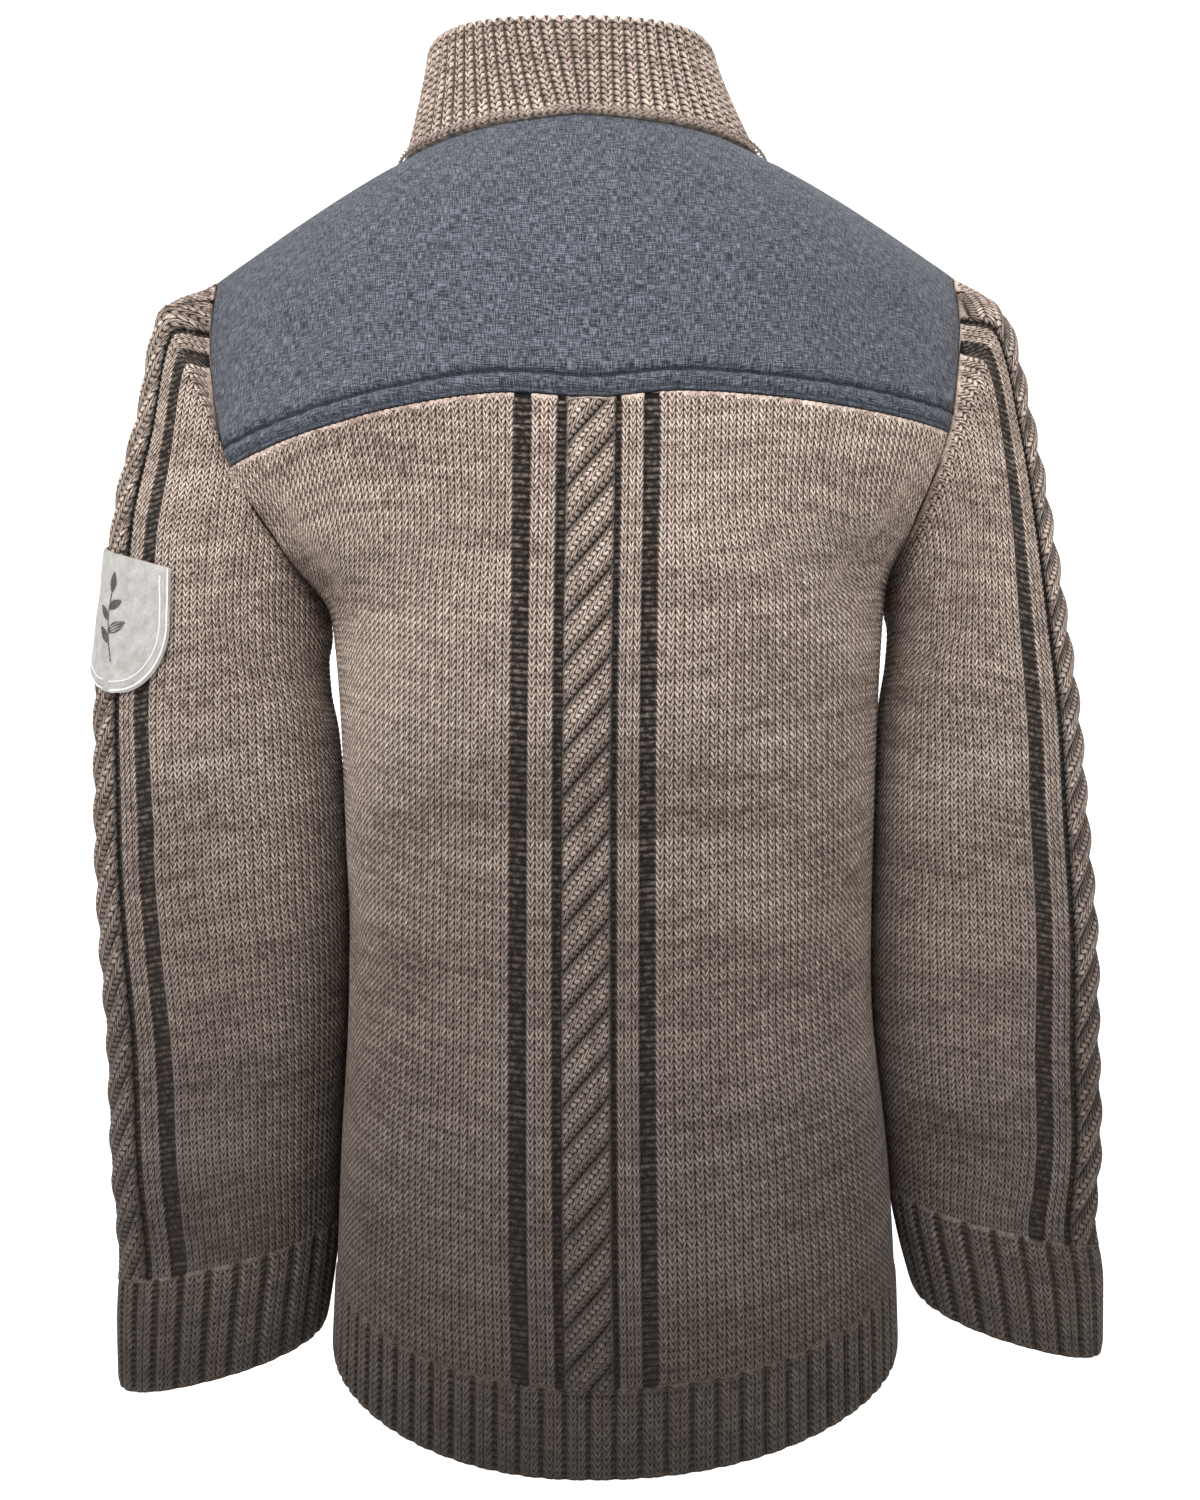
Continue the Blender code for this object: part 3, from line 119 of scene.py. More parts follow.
# A body rail runs from one armhole or side seam over the middle to the other. Fullness and turn shape its
# plan, and droop shapes how its height falls from the middle to the ends.
Rail = namedtuple("Rail", "name mid_x mid_y mid_z left_x left_y left_z right_x right_y right_z "
                          "fullness turn droop")
BACK_RAILS = (
    Rail("hem", 0.0045, -0.1400, -0.7150, -0.1450, 0.004, -0.6880, 0.1830, 0.004, -0.6880, 2.4, 2.4, 2.0),
    Rail("rib_top", 0.0045, -0.1415, -0.6680, -0.1430, 0.004, -0.6430, 0.1815, 0.004, -0.6430, 2.4, 2.4, 2.0),
    Rail("hip", 0.0035, -0.1460, -0.5980, -0.1405, 0.004, -0.5790, 0.1775, 0.004, -0.5790, 2.4, 2.4, 2.0),
    Rail("waist", 0.0028, -0.1390, -0.4900, -0.1360, 0.004, -0.4750, 0.1680, 0.004, -0.4750, 2.4, 2.4, 2.0),
    Rail("ribs", 0.0030, -0.1370, -0.3750, -0.1400, 0.004, -0.3680, 0.1715, 0.004, -0.3620, 2.3, 2.2, 2.0),
    Rail("underarm", 0.0040, -0.1390, -0.2730, -0.1490, 0.004, -0.2680, 0.1790, 0.004, -0.2520,
         2.2, 1.8, 2.0),
    Rail("low_blade", 0.0050, -0.1395, -0.2150, -0.1700, -0.052, -0.2320, 0.1890, -0.052, -0.2120,
         2.2, 1.4, 2.0),
    Rail("yoke_edge", 0.0055, -0.1350, -0.1600, -0.1960, -0.065, -0.1890, 0.2030, -0.065, -0.1690,
         2.3, 1.2, 2.0),
    Rail("blade", 0.0040, -0.1200, -0.0850, -0.2083, -0.052, -0.1363, 0.2120, -0.052, -0.1190,
         2.3, 1.1, 1.9),
    Rail("neck", 0.0000, -0.0780, 0.0000, -0.2145, -0.024, -0.0880, 0.2165, -0.024, -0.0800,
         2.2, 1.0, 1.6),
    Rail("ridge", 0.0000, -0.0200, 0.0400, -0.2155, 0.000, -0.0660, 0.2175, 0.000, -0.0630,
         2.2, 1.0, 1.18),
    Rail("shoulder_seam", 0.0000, 0.0200, 0.0440, -0.2145, 0.020, -0.0720, 0.2165, 0.020, -0.0690,
         2.2, 1.0, 1.15),
)
FRONT_MIDDLES = {"hem": (0.142, -0.712), "rib_top": (0.1435, -0.665), "hip": (0.148, -0.596),
                 "waist": (0.141, -0.487), "ribs": (0.139, -0.372), "underarm": (0.136, -0.270)}
FRONT_CHEST = (
    Rail("low_chest", 0.0050, 0.1330, -0.2080, -0.1680, 0.050, -0.2280, 0.1870, 0.050, -0.2080,
         2.2, 1.4, 2.0),
    Rail("chest", 0.0040, 0.1200, -0.1400, -0.1900, 0.062, -0.1750, 0.1980, 0.062, -0.1600,
         2.3, 1.2, 2.0),
    Rail("collarbone", 0.0020, 0.1000, -0.0770, -0.2030, 0.056, -0.1250, 0.2080, 0.056, -0.1120,
         2.3, 1.1, 1.9),
    Rail("neck_front", 0.0000, 0.0700, -0.0350, -0.2125, 0.038, -0.0890, 0.2145, 0.038, -0.0830,
         2.2, 1.0, 1.6),
)
YOKE_DIP = 0.0055
YOKE_DIP_WIDTH = 0.030
YOKE_STATIONS = np.concatenate([np.linspace(0.0, 0.22, 6), np.linspace(0.255, 0.745, 16),
                                np.linspace(0.78, 1.0, 6)])


# Extra lines beside the corners between neckline and shoulder seam: how far outside and inside of them,
# and the share of the width that other lines keep clear
CORNER_OUTSIDE = 0.0006
CORNER_INSIDE = -0.0012
CORNER_CLEAR_SHARE = 0.012

# A sleeve ring runs round the arm. It is as wide as the line from its outer to its inner point.
Ring = namedtuple("Ring", "outer_x outer_z inner_x inner_z half_depth centre_y")
# The same ring on the wearer's left and right: x and z of its outer and inner points, and what both share
RingPair = namedtuple("RingPair", "name left right half_depth centre_y")
RING_PAIRS = (
    RingPair("cuff_end", (-0.2695, -0.7115, -0.153, -0.683), (0.3015, -0.692, 0.1965, -0.664), 0.052, -0.01),
    RingPair("cuff_middle", (-0.2705, -0.674, -0.148, -0.652), (0.302, -0.652, 0.188, -0.633), 0.052, -0.01),
    RingPair("cuff_top", (-0.269, -0.638, -0.1447, -0.622), (0.297, -0.612, 0.182, -0.602), 0.0545, -0.01),
    RingPair("wrist", (-0.273, -0.58, -0.1424, -0.58), (0.2995, -0.57, 0.179, -0.575), 0.057, -0.01),
    RingPair("forearm", (-0.275, -0.512, -0.1399, -0.525), (0.298, -0.512, 0.1735, -0.525), 0.058, -0.011),
    RingPair("below_elbow", (-0.279, -0.45, -0.138, -0.475), (0.2963, -0.45, 0.17, -0.475), 0.06, -0.012),
    RingPair("elbow", (-0.281, -0.385, -0.1392, -0.425), (0.2902, -0.385, 0.1715, -0.422), 0.062, -0.012),
    RingPair("above_elbow", (-0.281, -0.32, -0.1414, -0.378), (0.2847, -0.32, 0.173, -0.368), 0.064, -0.01),
    RingPair("upper_arm", (-0.275, -0.252, -0.1458, -0.335), (0.2752, -0.252, 0.1764, -0.322), 0.0655, -0.007),
    RingPair("biceps", (-0.269, -0.2, -0.1508, -0.312), (0.2668, -0.2, 0.1812, -0.296), 0.066, -0.005),
    RingPair("high_arm", (-0.2555, -0.1446, -0.1525, -0.293), (0.256, -0.1446, 0.183, -0.276), 0.066, -0.004),
    RingPair("cap", (-0.2425, -0.085, -0.151, -0.279), (0.2405, -0.085, 0.1812, -0.262), 0.0655, -0.002),
)
SLEEVE_FULLNESS = 2.25
CABLE_BEHIND_OUTER_LINE = 0.043

# A fold is a soft trough, or a ridge where its depth is negative, between two places. Across is measured
# from the middle of the panel and up from its lower edge.
Fold = namedtuple("Fold", "across_1 up_1 across_2 up_2 width depth")
BACK_FOLDS = (
    Fold(-0.205, 0.535, -0.165, 0.440, 0.013, 0.0065),
    Fold(-0.180, 0.525, -0.120, 0.450, 0.012, 0.0035),
    Fold(-0.190, 0.500, -0.150, 0.405, 0.010, -0.0030),
    Fold(-0.150, 0.540, -0.095, 0.490, 0.012, 0.0020),
    Fold(0.205, 0.520, 0.165, 0.440, 0.013, 0.0055),
    Fold(0.195, 0.450, 0.130, 0.437, 0.011, 0.0040),
    Fold(0.185, 0.475, 0.130, 0.465, 0.010, -0.0025),
    Fold(0.150, 0.535, 0.105, 0.480, 0.012, 0.0022),
    Fold(-0.200, 0.260, -0.105, 0.215, 0.016, 0.0025),
    Fold(0.205, 0.285, 0.120, 0.235, 0.016, 0.0025),
    Fold(-0.150, 0.120, -0.060, 0.085, 0.018, 0.0018),
    Fold(0.060, 0.095, 0.160, 0.135, 0.018, 0.0018),
    Fold(0.020, 0.640, 0.085, 0.600, 0.012, 0.0018),
    Fold(-0.130, 0.600, -0.185, 0.570, 0.011, 0.0022),
    Fold(0.145, 0.625, 0.190, 0.590, 0.011, 0.0022),
)
FRONT_FOLDS = (
    Fold(-0.205, 0.520, -0.160, 0.435, 0.013, 0.0055),
    Fold(-0.185, 0.500, -0.120, 0.450, 0.012, 0.0030),
    Fold(0.205, 0.530, 0.160, 0.440, 0.013, 0.0055),
    Fold(0.180, 0.510, 0.115, 0.465, 0.012, 0.0030),
    Fold(-0.200, 0.250, -0.100, 0.210, 0.016, 0.0025),
    Fold(0.205, 0.270, 0.110, 0.225, 0.016, 0.0025),
    Fold(-0.150, 0.105, -0.070, 0.085, 0.018, 0.0018),
    Fold(0.070, 0.100, 0.150, 0.125, 0.018, 0.0018),
)
# On a sleeve, across is measured round the arm from the outermost line, positive anticlockwise from above.
SLEEVE_FOLDS_LEFT = (
    Fold(0.150, 0.420, 0.090, 0.470, 0.010, 0.0035),
    Fold(0.165, 0.385, 0.100, 0.425, 0.010, 0.0030),
    Fold(0.150, 0.330, 0.095, 0.350, 0.011, 0.0025),
    Fold(0.170, 0.265, 0.090, 0.245, 0.012, 0.0028),
    Fold(0.165, 0.215, 0.100, 0.200, 0.011, 0.0022),
    Fold(0.150, 0.120, 0.080, 0.105, 0.010, 0.0018),
    Fold(-0.150, 0.415, -0.090, 0.460, 0.010, 0.0035),
    Fold(-0.165, 0.300, -0.085, 0.275, 0.012, 0.0028),
    Fold(-0.160, 0.235, -0.090, 0.220, 0.011, 0.0024),
    Fold(-0.145, 0.130, -0.080, 0.110, 0.010, 0.0018),
)
RIGHT_FOLDS_LOWER_START = 0.012
RIGHT_FOLDS_LOWER_END = 0.004
SLEEVE_FOLDS_RIGHT = tuple(
    Fold(-fold.across_1, fold.up_1 - RIGHT_FOLDS_LOWER_START, -fold.across_2,
         fold.up_2 - RIGHT_FOLDS_LOWER_END, fold.width, fold.depth)
    for fold in SLEEVE_FOLDS_LEFT)


# A strand's slant over half the cable's width, in lobes: its even part, and the part that turns at the edges
SLANT_EVEN = 0.42
SLANT_AT_EDGES = 0.33

# Collar: its top line, how it leans and bends, and the gap between its front edges
COLLAR_TOP_HALF_WIDTH = 0.0835
COLLAR_TOP_BACK = 0.066
COLLAR_TOP_FRONT = 0.070
COLLAR_TOP_Z = 0.062
COLLAR_TOP_FRONT_DROP = 0.050
COLLAR_TOP_LEAN = -0.007
COLLAR_FULLNESS = 2.8
COLLAR_FRONT_GAP = 0.003
COLLAR_BEND = 1.25

# Patch on the wearer's left sleeve
PATCH_WIDTH = 0.086
PATCH_HEIGHT = 0.077
PATCH_ROUND_SHARE = 0.66
PATCH_CENTRE_BACK = 0.053
PATCH_BOTTOM_UP = 0.394
PATCH_WALL = 0.0016
PATCH_CLEAR = 0.0019
PATCH_SIDE_FALL = 0.0370
PATCH_OVER_CABLE = 0.0032
PATCH_OVER_CABLE_REACH = 0.024
PATCH_OVER_CABLE_RUN = 0.014
PATCH_CORNER_FULLNESS = 2.1
PATCH_POINT_SHARE = 0.015


def smooth_through(places, values, wanted):
    """Read a smooth curve through rows of values at the wanted places."""
    places = np.asarray(places, float)
    values = np.asarray(values, float)
    gaps = np.diff(places)[:, None]
    climbs = np.diff(values, axis=0) / gaps
    before, after = climbs[:-1], climbs[1:]
    same_way = before * after > 0
    safe = np.where(same_way, before + after, 1.0)
    slopes = np.concatenate([climbs[:1], np.where(same_way, 2.0 * before * after / safe, 0.0), climbs[-1:]])
    cell = np.clip(np.searchsorted(places, wanted, side="right") - 1, 0, len(places) - 2)
    span = (places[cell + 1] - places[cell])[:, None]
    t = ((wanted - places[cell])[:, None]) / span
    low, high = values[cell], values[cell + 1]
    low_slope, high_slope = slopes[cell] * span, slopes[cell + 1] * span
    return ((2 * t ** 3 - 3 * t ** 2 + 1) * low + (t ** 3 - 2 * t ** 2 + t) * low_slope
            + (-2 * t ** 3 + 3 * t ** 2) * high + (t ** 3 - t ** 2) * high_slope)


def run_lengths(points):
    """Distance along a line of points, from its first point."""
    steps = np.linalg.norm(np.diff(points, axis=0), axis=1)
    return np.concatenate([[0.0], np.cumsum(steps)])


def even_line(points, count):
    """The same line with evenly spaced points."""
    along = run_lengths(points)
    return interp_rows(np.linspace(0.0, along[-1], count), along, points)


def unit(vectors):
    return vectors / np.maximum(np.linalg.norm(vectors, axis=-1, keepdims=True), 1e-9)


def fold_depth(folds, across, up):
    """Depth of all folds together at each place of a panel."""
    total = np.zeros_like(across)
    for fold in folds:
        start = np.array([fold.across_1, fold.up_1])
        run = np.array([fold.across_2, fold.up_2]) - start
        length = np.hypot(*run)
        run = run / length
        along = (across - start[0]) * run[0] + (up - start[1]) * run[1]
        aside = (across - start[0]) * run[1] - (up - start[1]) * run[0]
        taper = np.clip(np.sin(np.pi * np.clip(along / length, 0.0, 1.0)), 0.0, 1.0) ** 0.7
        total += fold.depth * taper * np.exp(-(aside / fold.width) ** 2)
    return total


def rail_grid(places, wanted_steps, stack):
    """Rows of points read smoothly through the given rows of points."""
    wanted = finer_places(places, wanted_steps)
    flat = smooth_through(places, stack.reshape(len(stack), -1), wanted)
    return flat.reshape(len(wanted), -1, 3)


def finer_places(places, steps):
    return np.concatenate([np.linspace(places[i], places[i + 1], steps, endpoint=False)
                           for i in range(len(places) - 1)] + [places[-1:]])


def body_rail(numbers):
    """One rail as two evenly spaced halves, from -X to +X."""
    rail = Rail("rail", *numbers)
    angle = np.linspace(0.0, math.pi / 2, RAIL_POINTS)
    reach = np.sin(angle)
    bulge = np.maximum(1.0 - reach ** rail.fullness, 0.0) ** (1.0 / rail.turn)
    halves = []
    for end in ((rail.left_x, rail.left_y, rail.left_z), (rail.right_x, rail.right_y, rail.right_z)):
        line = np.stack([rail.mid_x + (end[0] - rail.mid_x) * reach,
                         end[1] + (rail.mid_y - end[1]) * bulge,
                         rail.mid_z + (end[2] - rail.mid_z) * reach ** rail.droop], axis=1)
        halves.append(even_line(line, HALF_COLUMNS + 1))
    return np.concatenate([halves[0][::-1], halves[1][1:]])


def body_sheet(rails, folds, facing_front):
    """A grid over the back or the front, from the hem up to the shoulder seam."""
    numbers = np.array([rail[1:] for rail in rails], float)
    places = 0.5 * (run_lengths(numbers[:, 0:3]) + run_lengths(numbers[:, 3:6]))
    wanted = finer_places(places, STEPS_PER_ROW)
    points = np.stack([body_rail(row) for row in smooth_through(places, numbers, wanted)])
    if facing_front:
        points = points[:, ::-1]
    sheet = finish_sheet(points, False, folds)
    sheet["rail_rows"] = {rail.name: i * STEPS_PER_ROW for i, rail in enumerate(rails)}
    return sheet


def front_rails():
    """The front shares its side seams and its shoulder seam with the back."""
    rails = []
    for rail in BACK_RAILS:
        if rail.name in FRONT_MIDDLES:
            depth, height = FRONT_MIDDLES[rail.name]
            rails.append(rail._replace(mid_y=depth, mid_z=height))
    return tuple(rails) + FRONT_CHEST + (BACK_RAILS[-1],)


def two_halves(first, second):
    return np.concatenate([even_line(first, HALF_COLUMNS + 1), even_line(second, HALF_COLUMNS + 1)[1:]])


def ring_line(ring, side):
    """A sleeve ring from its inner point, anticlockwise from above, as two evenly spaced halves."""
    angle = np.linspace(0.0, 2 * math.pi, RING_POINTS + 1)
    across, deep = np.cos(angle), np.sin(angle)
    across = np.sign(across) * np.abs(across) ** (2 / SLEEVE_FULLNESS)
    deep = np.sign(deep) * np.abs(deep) ** (2 / SLEEVE_FULLNESS)
    inner = np.array([ring.inner_x, ring.centre_y, ring.inner_z])
    outer = np.array([ring.outer_x, ring.centre_y, ring.outer_z])
    depth = np.array([0.0, -side * ring.half_depth, 0.0])
    line = (inner + outer) / 2 + across[:, None] * (inner - outer) / 2 + deep[:, None] * depth
    half = RING_POINTS // 2
    return two_halves(line[:half + 1], line[half:])


def armhole_line(back, front, side):
    """The armhole seam from the underarm point, anticlockwise from above."""
    back_column, front_column = (0, -1) if side < 0 else (-1, 0)
    back_edge = back["points"][back["rail_rows"]["underarm"]:, back_column]
    front_edge = front["points"][front["rail_rows"]["underarm"]:, front_column]
    shoulder = back["rail_rows"]["ridge"] - back["rail_rows"]["underarm"]
    back_half = back_edge[:shoulder + 1]
    front_half = np.concatenate([front_edge, back_edge[shoulder:][::-1][1:]])
    if side < 0:
        return two_halves(front_half, back_half[::-1])
    return two_halves(back_half, front_half[::-1])


def sleeve_sheet(rings, armhole, side, folds):
    """A closed grid round the arm, from the cuff up to the armhole seam."""
    outward = unit(np.array([side * 0.95, 0.0, -0.31]))
    lines = [ring_line(ring, side) for ring in rings] + [armhole + outward * ARMHOLE_GAP]
    stack = np.stack(lines)
    places = run_lengths(stack.mean(axis=1))
    return finish_sheet(rail_grid(places, STEPS_PER_ROW, stack), True, folds)


def sheet_normals(points, closed):
    if closed:
        sideways = np.gradient(points, axis=1)
        sideways[:, 0] = sideways[:, -1] = points[:, 1] - points[:, -2]
    else:
        sideways = np.gradient(points, axis=1)
    return unit(np.cross(sideways, np.gradient(points, axis=0)))


def finish_sheet(points, closed, folds):
    """Press the folds into a grid of points, and add its normals and its distances across and up."""
    steps = np.linalg.norm(np.diff(points, axis=1), axis=2)
    across = np.concatenate([np.zeros((len(points), 1)), np.cumsum(steps, axis=1)], axis=1)
    across = across - across[:, HALF_COLUMNS:HALF_COLUMNS + 1]
    rises = np.linalg.norm(np.diff(points, axis=0), axis=2)
    up = np.concatenate([np.zeros((1, points.shape[1])), np.cumsum(rises, axis=0)])
    points = points - sheet_normals(points, closed) * fold_depth(folds, across, up)[..., None]
    return {"points": points, "normals": sheet_normals(points, closed), "across": across}


def share_line(sheet, share):
    """A line up the sheet at one share of its width."""
    return line_at(sheet, np.full(len(sheet["points"]), float(share)))


def metric_shares(sheet, distance):
    """The share of the width at one distance from the middle line, at each row of the sheet."""
    columns = np.linspace(0.0, 1.0, sheet["across"].shape[1])
    return np.array([np.interp(distance, row, columns) for row in sheet["across"]])


def width_at(sheet, row=0):
    return sheet["across"][row, -1] - sheet["across"][row, 0]


def interp_rows(wanted, places, rows):
    """Rows of three values read at the wanted places."""
    return np.stack([np.interp(wanted, places, rows[:, k]) for k in range(3)], axis=1)


def line_at(sheet, shares):
    columns = sheet["points"].shape[1] - 1
    place = np.clip(shares, 0.0, 1.0) * columns
    cell = np.minimum(place.astype(int), columns - 1)
    part = (place - cell)[:, None]
    rows = np.arange(len(shares))
    points = sheet["points"][rows, cell] * (1 - part) + sheet["points"][rows, cell + 1] * part
    normals = unit(sheet["normals"][rows, cell] * (1 - part) + sheet["normals"][rows, cell + 1] * part)
    return {"points": points, "normals": normals, "up": run_lengths(points), "shares": shares}


def pick(line, ups):
    """Points and normals of a line at the given heights along it."""
    return interp_rows(ups, line["up"], line["points"]), unit(interp_rows(ups, line["up"], line["normals"]))


def share_of(line, up):
    return float(np.interp(up, line["up"], line["shares"]))


def neck_top(line, neck_depth):
    """How far up a line reaches: the neckline if it runs into it, or else the shoulder seam."""
    x, y = line["points"][:, 0], line["points"][:, 1]
    inside = (x / NECK_HALF_WIDTH) ** 2 + (y / neck_depth) ** 2 - 1.0
    entered = np.nonzero((inside[1:] < 0) & (inside[:-1] >= 0))[0]
    if len(entered) == 0:
        return line["up"][-1] - SEAM_GAP
    row = entered[0]
    part = inside[row] / (inside[row] - inside[row + 1])
    return line["up"][row] + part * (line["up"][row + 1] - line["up"][row])


def neck_corners(sheet, shares):
    """The given shares, with one more on each side of both corners between neckline and shoulder seam."""
    columns = np.linspace(0.0, 1.0, sheet["points"].shape[1])
    seam_x = sheet["points"][-1, :, 0]
    order = np.argsort(seam_x)
    corners = [float(np.interp(side * (NECK_HALF_WIDTH + beside), seam_x[order], columns[order]))
               for side in (-1.0, 1.0) for beside in (CORNER_INSIDE, CORNER_OUTSIDE)]
    kept = [share for share in shares if min(abs(share - corner) for corner in corners) > CORNER_CLEAR_SHARE]
    return np.array(sorted(kept + [corner for corner in corners if shares[0] < corner < shares[-1]]))


def yoke_edge_up(back, line):
    """Height of the yoke's lower edge on a line of the back. It is straight between its stations."""
    row = back["rail_rows"]["yoke_edge"]
    dips = YOKE_DIP * np.exp(-((YOKE_STATIONS - 0.5) * width_at(back, row) / YOKE_DIP_WIDTH) ** 2)
    return line["up"][row] - float(np.interp(line["shares"][row], YOKE_STATIONS, dips))


def rope_slant(place):
    """How many lobes higher a strand is at one place of the cable's width than in its middle."""
    return SLANT_EVEN * place + SLANT_AT_EDGES * math.asin(place) / (math.pi / 2)


def rope_height(place, turn):
    """Height of a rope cable: place runs -1 to 1 over its width, turn counts its lobes."""
    envelope = math.sqrt(max(1.0 - abs(place) ** 3.2, 0.0))
    lobe = np.abs(np.sin(np.pi * turn)) ** 0.8
    return CABLE_BASE + CABLE_HEIGHT * 1.25 * envelope * (0.02 + 0.98 * lobe)


def smooth_step(value):
    value = np.clip(value, 0.0, 1.0)
    return value * value * (3.0 - 2.0 * value)


def front_lift(front, line, ups):
    """The left front rises towards the band that laps over the other."""
    shares = np.interp(ups, line["up"], line["shares"])
    distance = np.abs(shares - 0.5) * width_at(front)
    near_edge = smooth_step((FRONT_LIFT_FLAT + FRONT_LIFT_RUN - distance) / FRONT_LIFT_RUN)
    below_neck = smooth_step((neck_top(line, NECK_FRONT) - ups) / FRONT_LIFT_RUN)
    return FRONT_LIFT * near_edge * below_neck


# The neckline's height is a mean over the nearest points, front or back of this depth, weighted by nearness
NECK_POINTS = 6
NECK_TURN_Y = 0.02
NECK_SOFTEN = 0.0005


def neck_heights(back, front, angles):
    """Height of the cloth under the neckline, at angles from the centre front, anticlockwise from above."""
    heights = []
    for angle in angles:
        depth = NECK_FRONT if math.cos(angle) > 0 else NECK_BACK
        place = np.array([-NECK_HALF_WIDTH * math.sin(angle), depth * math.cos(angle)])
        sheet = front if place[1] > NECK_TURN_Y else back
        cloth = sheet["points"][sheet["rail_rows"]["underarm"]:].reshape(-1, 3)
        distance = np.linalg.norm(cloth[:, :2] - place, axis=1)
        nearest = np.argsort(distance)[:NECK_POINTS]
        weight = 1.0 / (distance[nearest] + NECK_SOFTEN)
        heights.append(float(np.sum(cloth[nearest, 2] * weight) / np.sum(weight)))
    return np.array(heights)


def collar_line(share, angles, seam_angles, seam_heights):
    """Points of the collar's own surface at one share of its height."""
    depth = np.where(np.cos(angles) > 0, NECK_FRONT, NECK_BACK)
    base = np.stack([-NECK_HALF_WIDTH * np.sin(angles), depth * np.cos(angles),
                     np.interp(angles, seam_angles, seam_heights) + NECK_GAP], axis=1)
    across = np.sign(np.sin(angles)) * np.abs(np.sin(angles)) ** (2 / COLLAR_FULLNESS)
    deep = np.sign(np.cos(angles)) * np.abs(np.cos(angles)) ** (2 / COLLAR_FULLNESS)
    depth = np.where(np.cos(angles) > 0, COLLAR_TOP_FRONT, COLLAR_TOP_BACK)
    drop = COLLAR_TOP_FRONT_DROP * smooth_step((np.cos(angles) + 0.3) / 1.3)
    top = np.stack([COLLAR_TOP_LEAN - COLLAR_TOP_HALF_WIDTH * across, depth * deep,
                    COLLAR_TOP_Z - drop], axis=1)
    inward = 1.0 - (1.0 - share) ** COLLAR_BEND
    level = np.array([1.0, 1.0, 0.0]) * inward + np.array([0.0, 0.0, 1.0]) * share
    return base + (top - base) * level


def place_object(name, data):
    """A new object in the scene."""
    made = bpy.data.objects.new(name, data)
    bpy.context.scene.collection.objects.link(made)
    return made


class Cloth:
    """Points and faces of one closed piece, with its stitch map, its purl values and its painted shade."""

    def __init__(self):
        self.points, self.purl, self.dark = [], [], []
        self.quads, self.quad_maps, self.triangles = [], [], []
        self.count = 0

    def add(self, points, purl=0.0, dark=0.0):
        points = np.asarray(points, float).reshape(-1, 3)
        size = len(points)
        ids = np.arange(self.count, self.count + size)
        self.count += size
        self.points.append(points)
        self.purl.append(np.broadcast_to(purl, size).astype(float))
        self.dark.append(np.broadcast_to(dark, size).astype(float))
        return ids

    def ribbon(self, left, right, left_map, right_map):
        """Quads between two lines of as many points, which run up with left on the left from outside."""
        self.quads.append(np.stack([left[:-1], right[:-1], right[1:], left[1:]], axis=1))
        self.quad_maps.append(np.stack([left_map[:-1], right_map[:-1], right_map[1:], left_map[1:]], axis=1))

    def strip(self, left, right, left_at=None, right_at=None):
        """Triangles between two lines of any number of points, which run the same way."""
        left_at = np.linspace(0, 1, len(left)) if left_at is None else left_at
        right_at = np.linspace(0, 1, len(right)) if right_at is None else right_at
        i = j = 0
        while i < len(left) - 1 or j < len(right) - 1:
            if j == len(right) - 1 or (i < len(left) - 1 and left_at[i + 1] <= right_at[j + 1] + 1e-9):
                corners = (left[i], right[j], left[i + 1])
                i += 1
            else:
                corners = (left[i], right[j], right[j + 1])
                j += 1
            if len({int(corner) for corner in corners}) == 3:
                self.triangles.append(corners)

    def sheet(self, points, across, up, purl=0.0, dark=0.0, closed=False, inside=False):
        """A grid of points: seen from outside, columns run to the right and rows upwards."""
        rows, columns = points.shape[:2]
        kept = columns - 1 if closed else columns
        across, up, purl, dark = (np.broadcast_to(values, (rows, columns))
                                  for values in (across, up, purl, dark))
        maps = np.stack([across, up], axis=2)
        ids = self.add(points[:, :kept], purl[:, :kept].reshape(-1), dark[:, :kept].reshape(-1))
        ids = ids.reshape(rows, kept)
        if closed:
            ids = np.concatenate([ids, ids[:, :1]], axis=1)
        for c in range(columns - 1):
            left, right = (c + 1, c) if inside else (c, c + 1)
            self.ribbon(ids[:, left], ids[:, right], maps[:, left], maps[:, right])
        return ids

    def make(self, name, material):
        points = np.concatenate(self.points)
        quads = np.concatenate(self.quads) if self.quads else np.zeros((0, 4), int)
        triangles = np.array(self.triangles, int).reshape(-1, 3)
        mesh = bpy.data.meshes.new(name)
        mesh.from_pydata(points.tolist(), [], quads.tolist() + triangles.tolist())
        quad_maps = np.concatenate(self.quad_maps).reshape(-1, 2) if self.quads else np.zeros((0, 2))
        on_a_leg = np.broadcast_to(np.array(LEG_MAP), (triangles.size, 2))
        corners = np.concatenate([quad_maps, on_a_leg])
        layer = mesh.uv_layers.new(name="stitches")
        layer.data.foreach_set("uv", corners.astype(np.float32).reshape(-1))
        for label, values in (("purl", self.purl), ("dark", self.dark)):
            attribute = mesh.attributes.new(label, "FLOAT", "POINT")
            attribute.data.foreach_set("value", np.concatenate(values).astype(np.float32))
        mesh.materials.append(material)
        mesh.shade_smooth()
        mesh.set_sharp_from_angle(angle=math.radians(SHARP_FROM_DEGREES))
        mesh.update()
        return place_object(name, mesh)


# One column of a knitted panel: where it runs (a share of the width at each row of the sheet), its height
# over the plain cloth, its place in the stitch map across and, in a cable, along its strands, the part of a
# row that it is shifted up, whether it is purl, its painted shade, and the run of columns that it belongs to
Wale = namedtuple("Wale", "shares height across rise shift purl dark run")


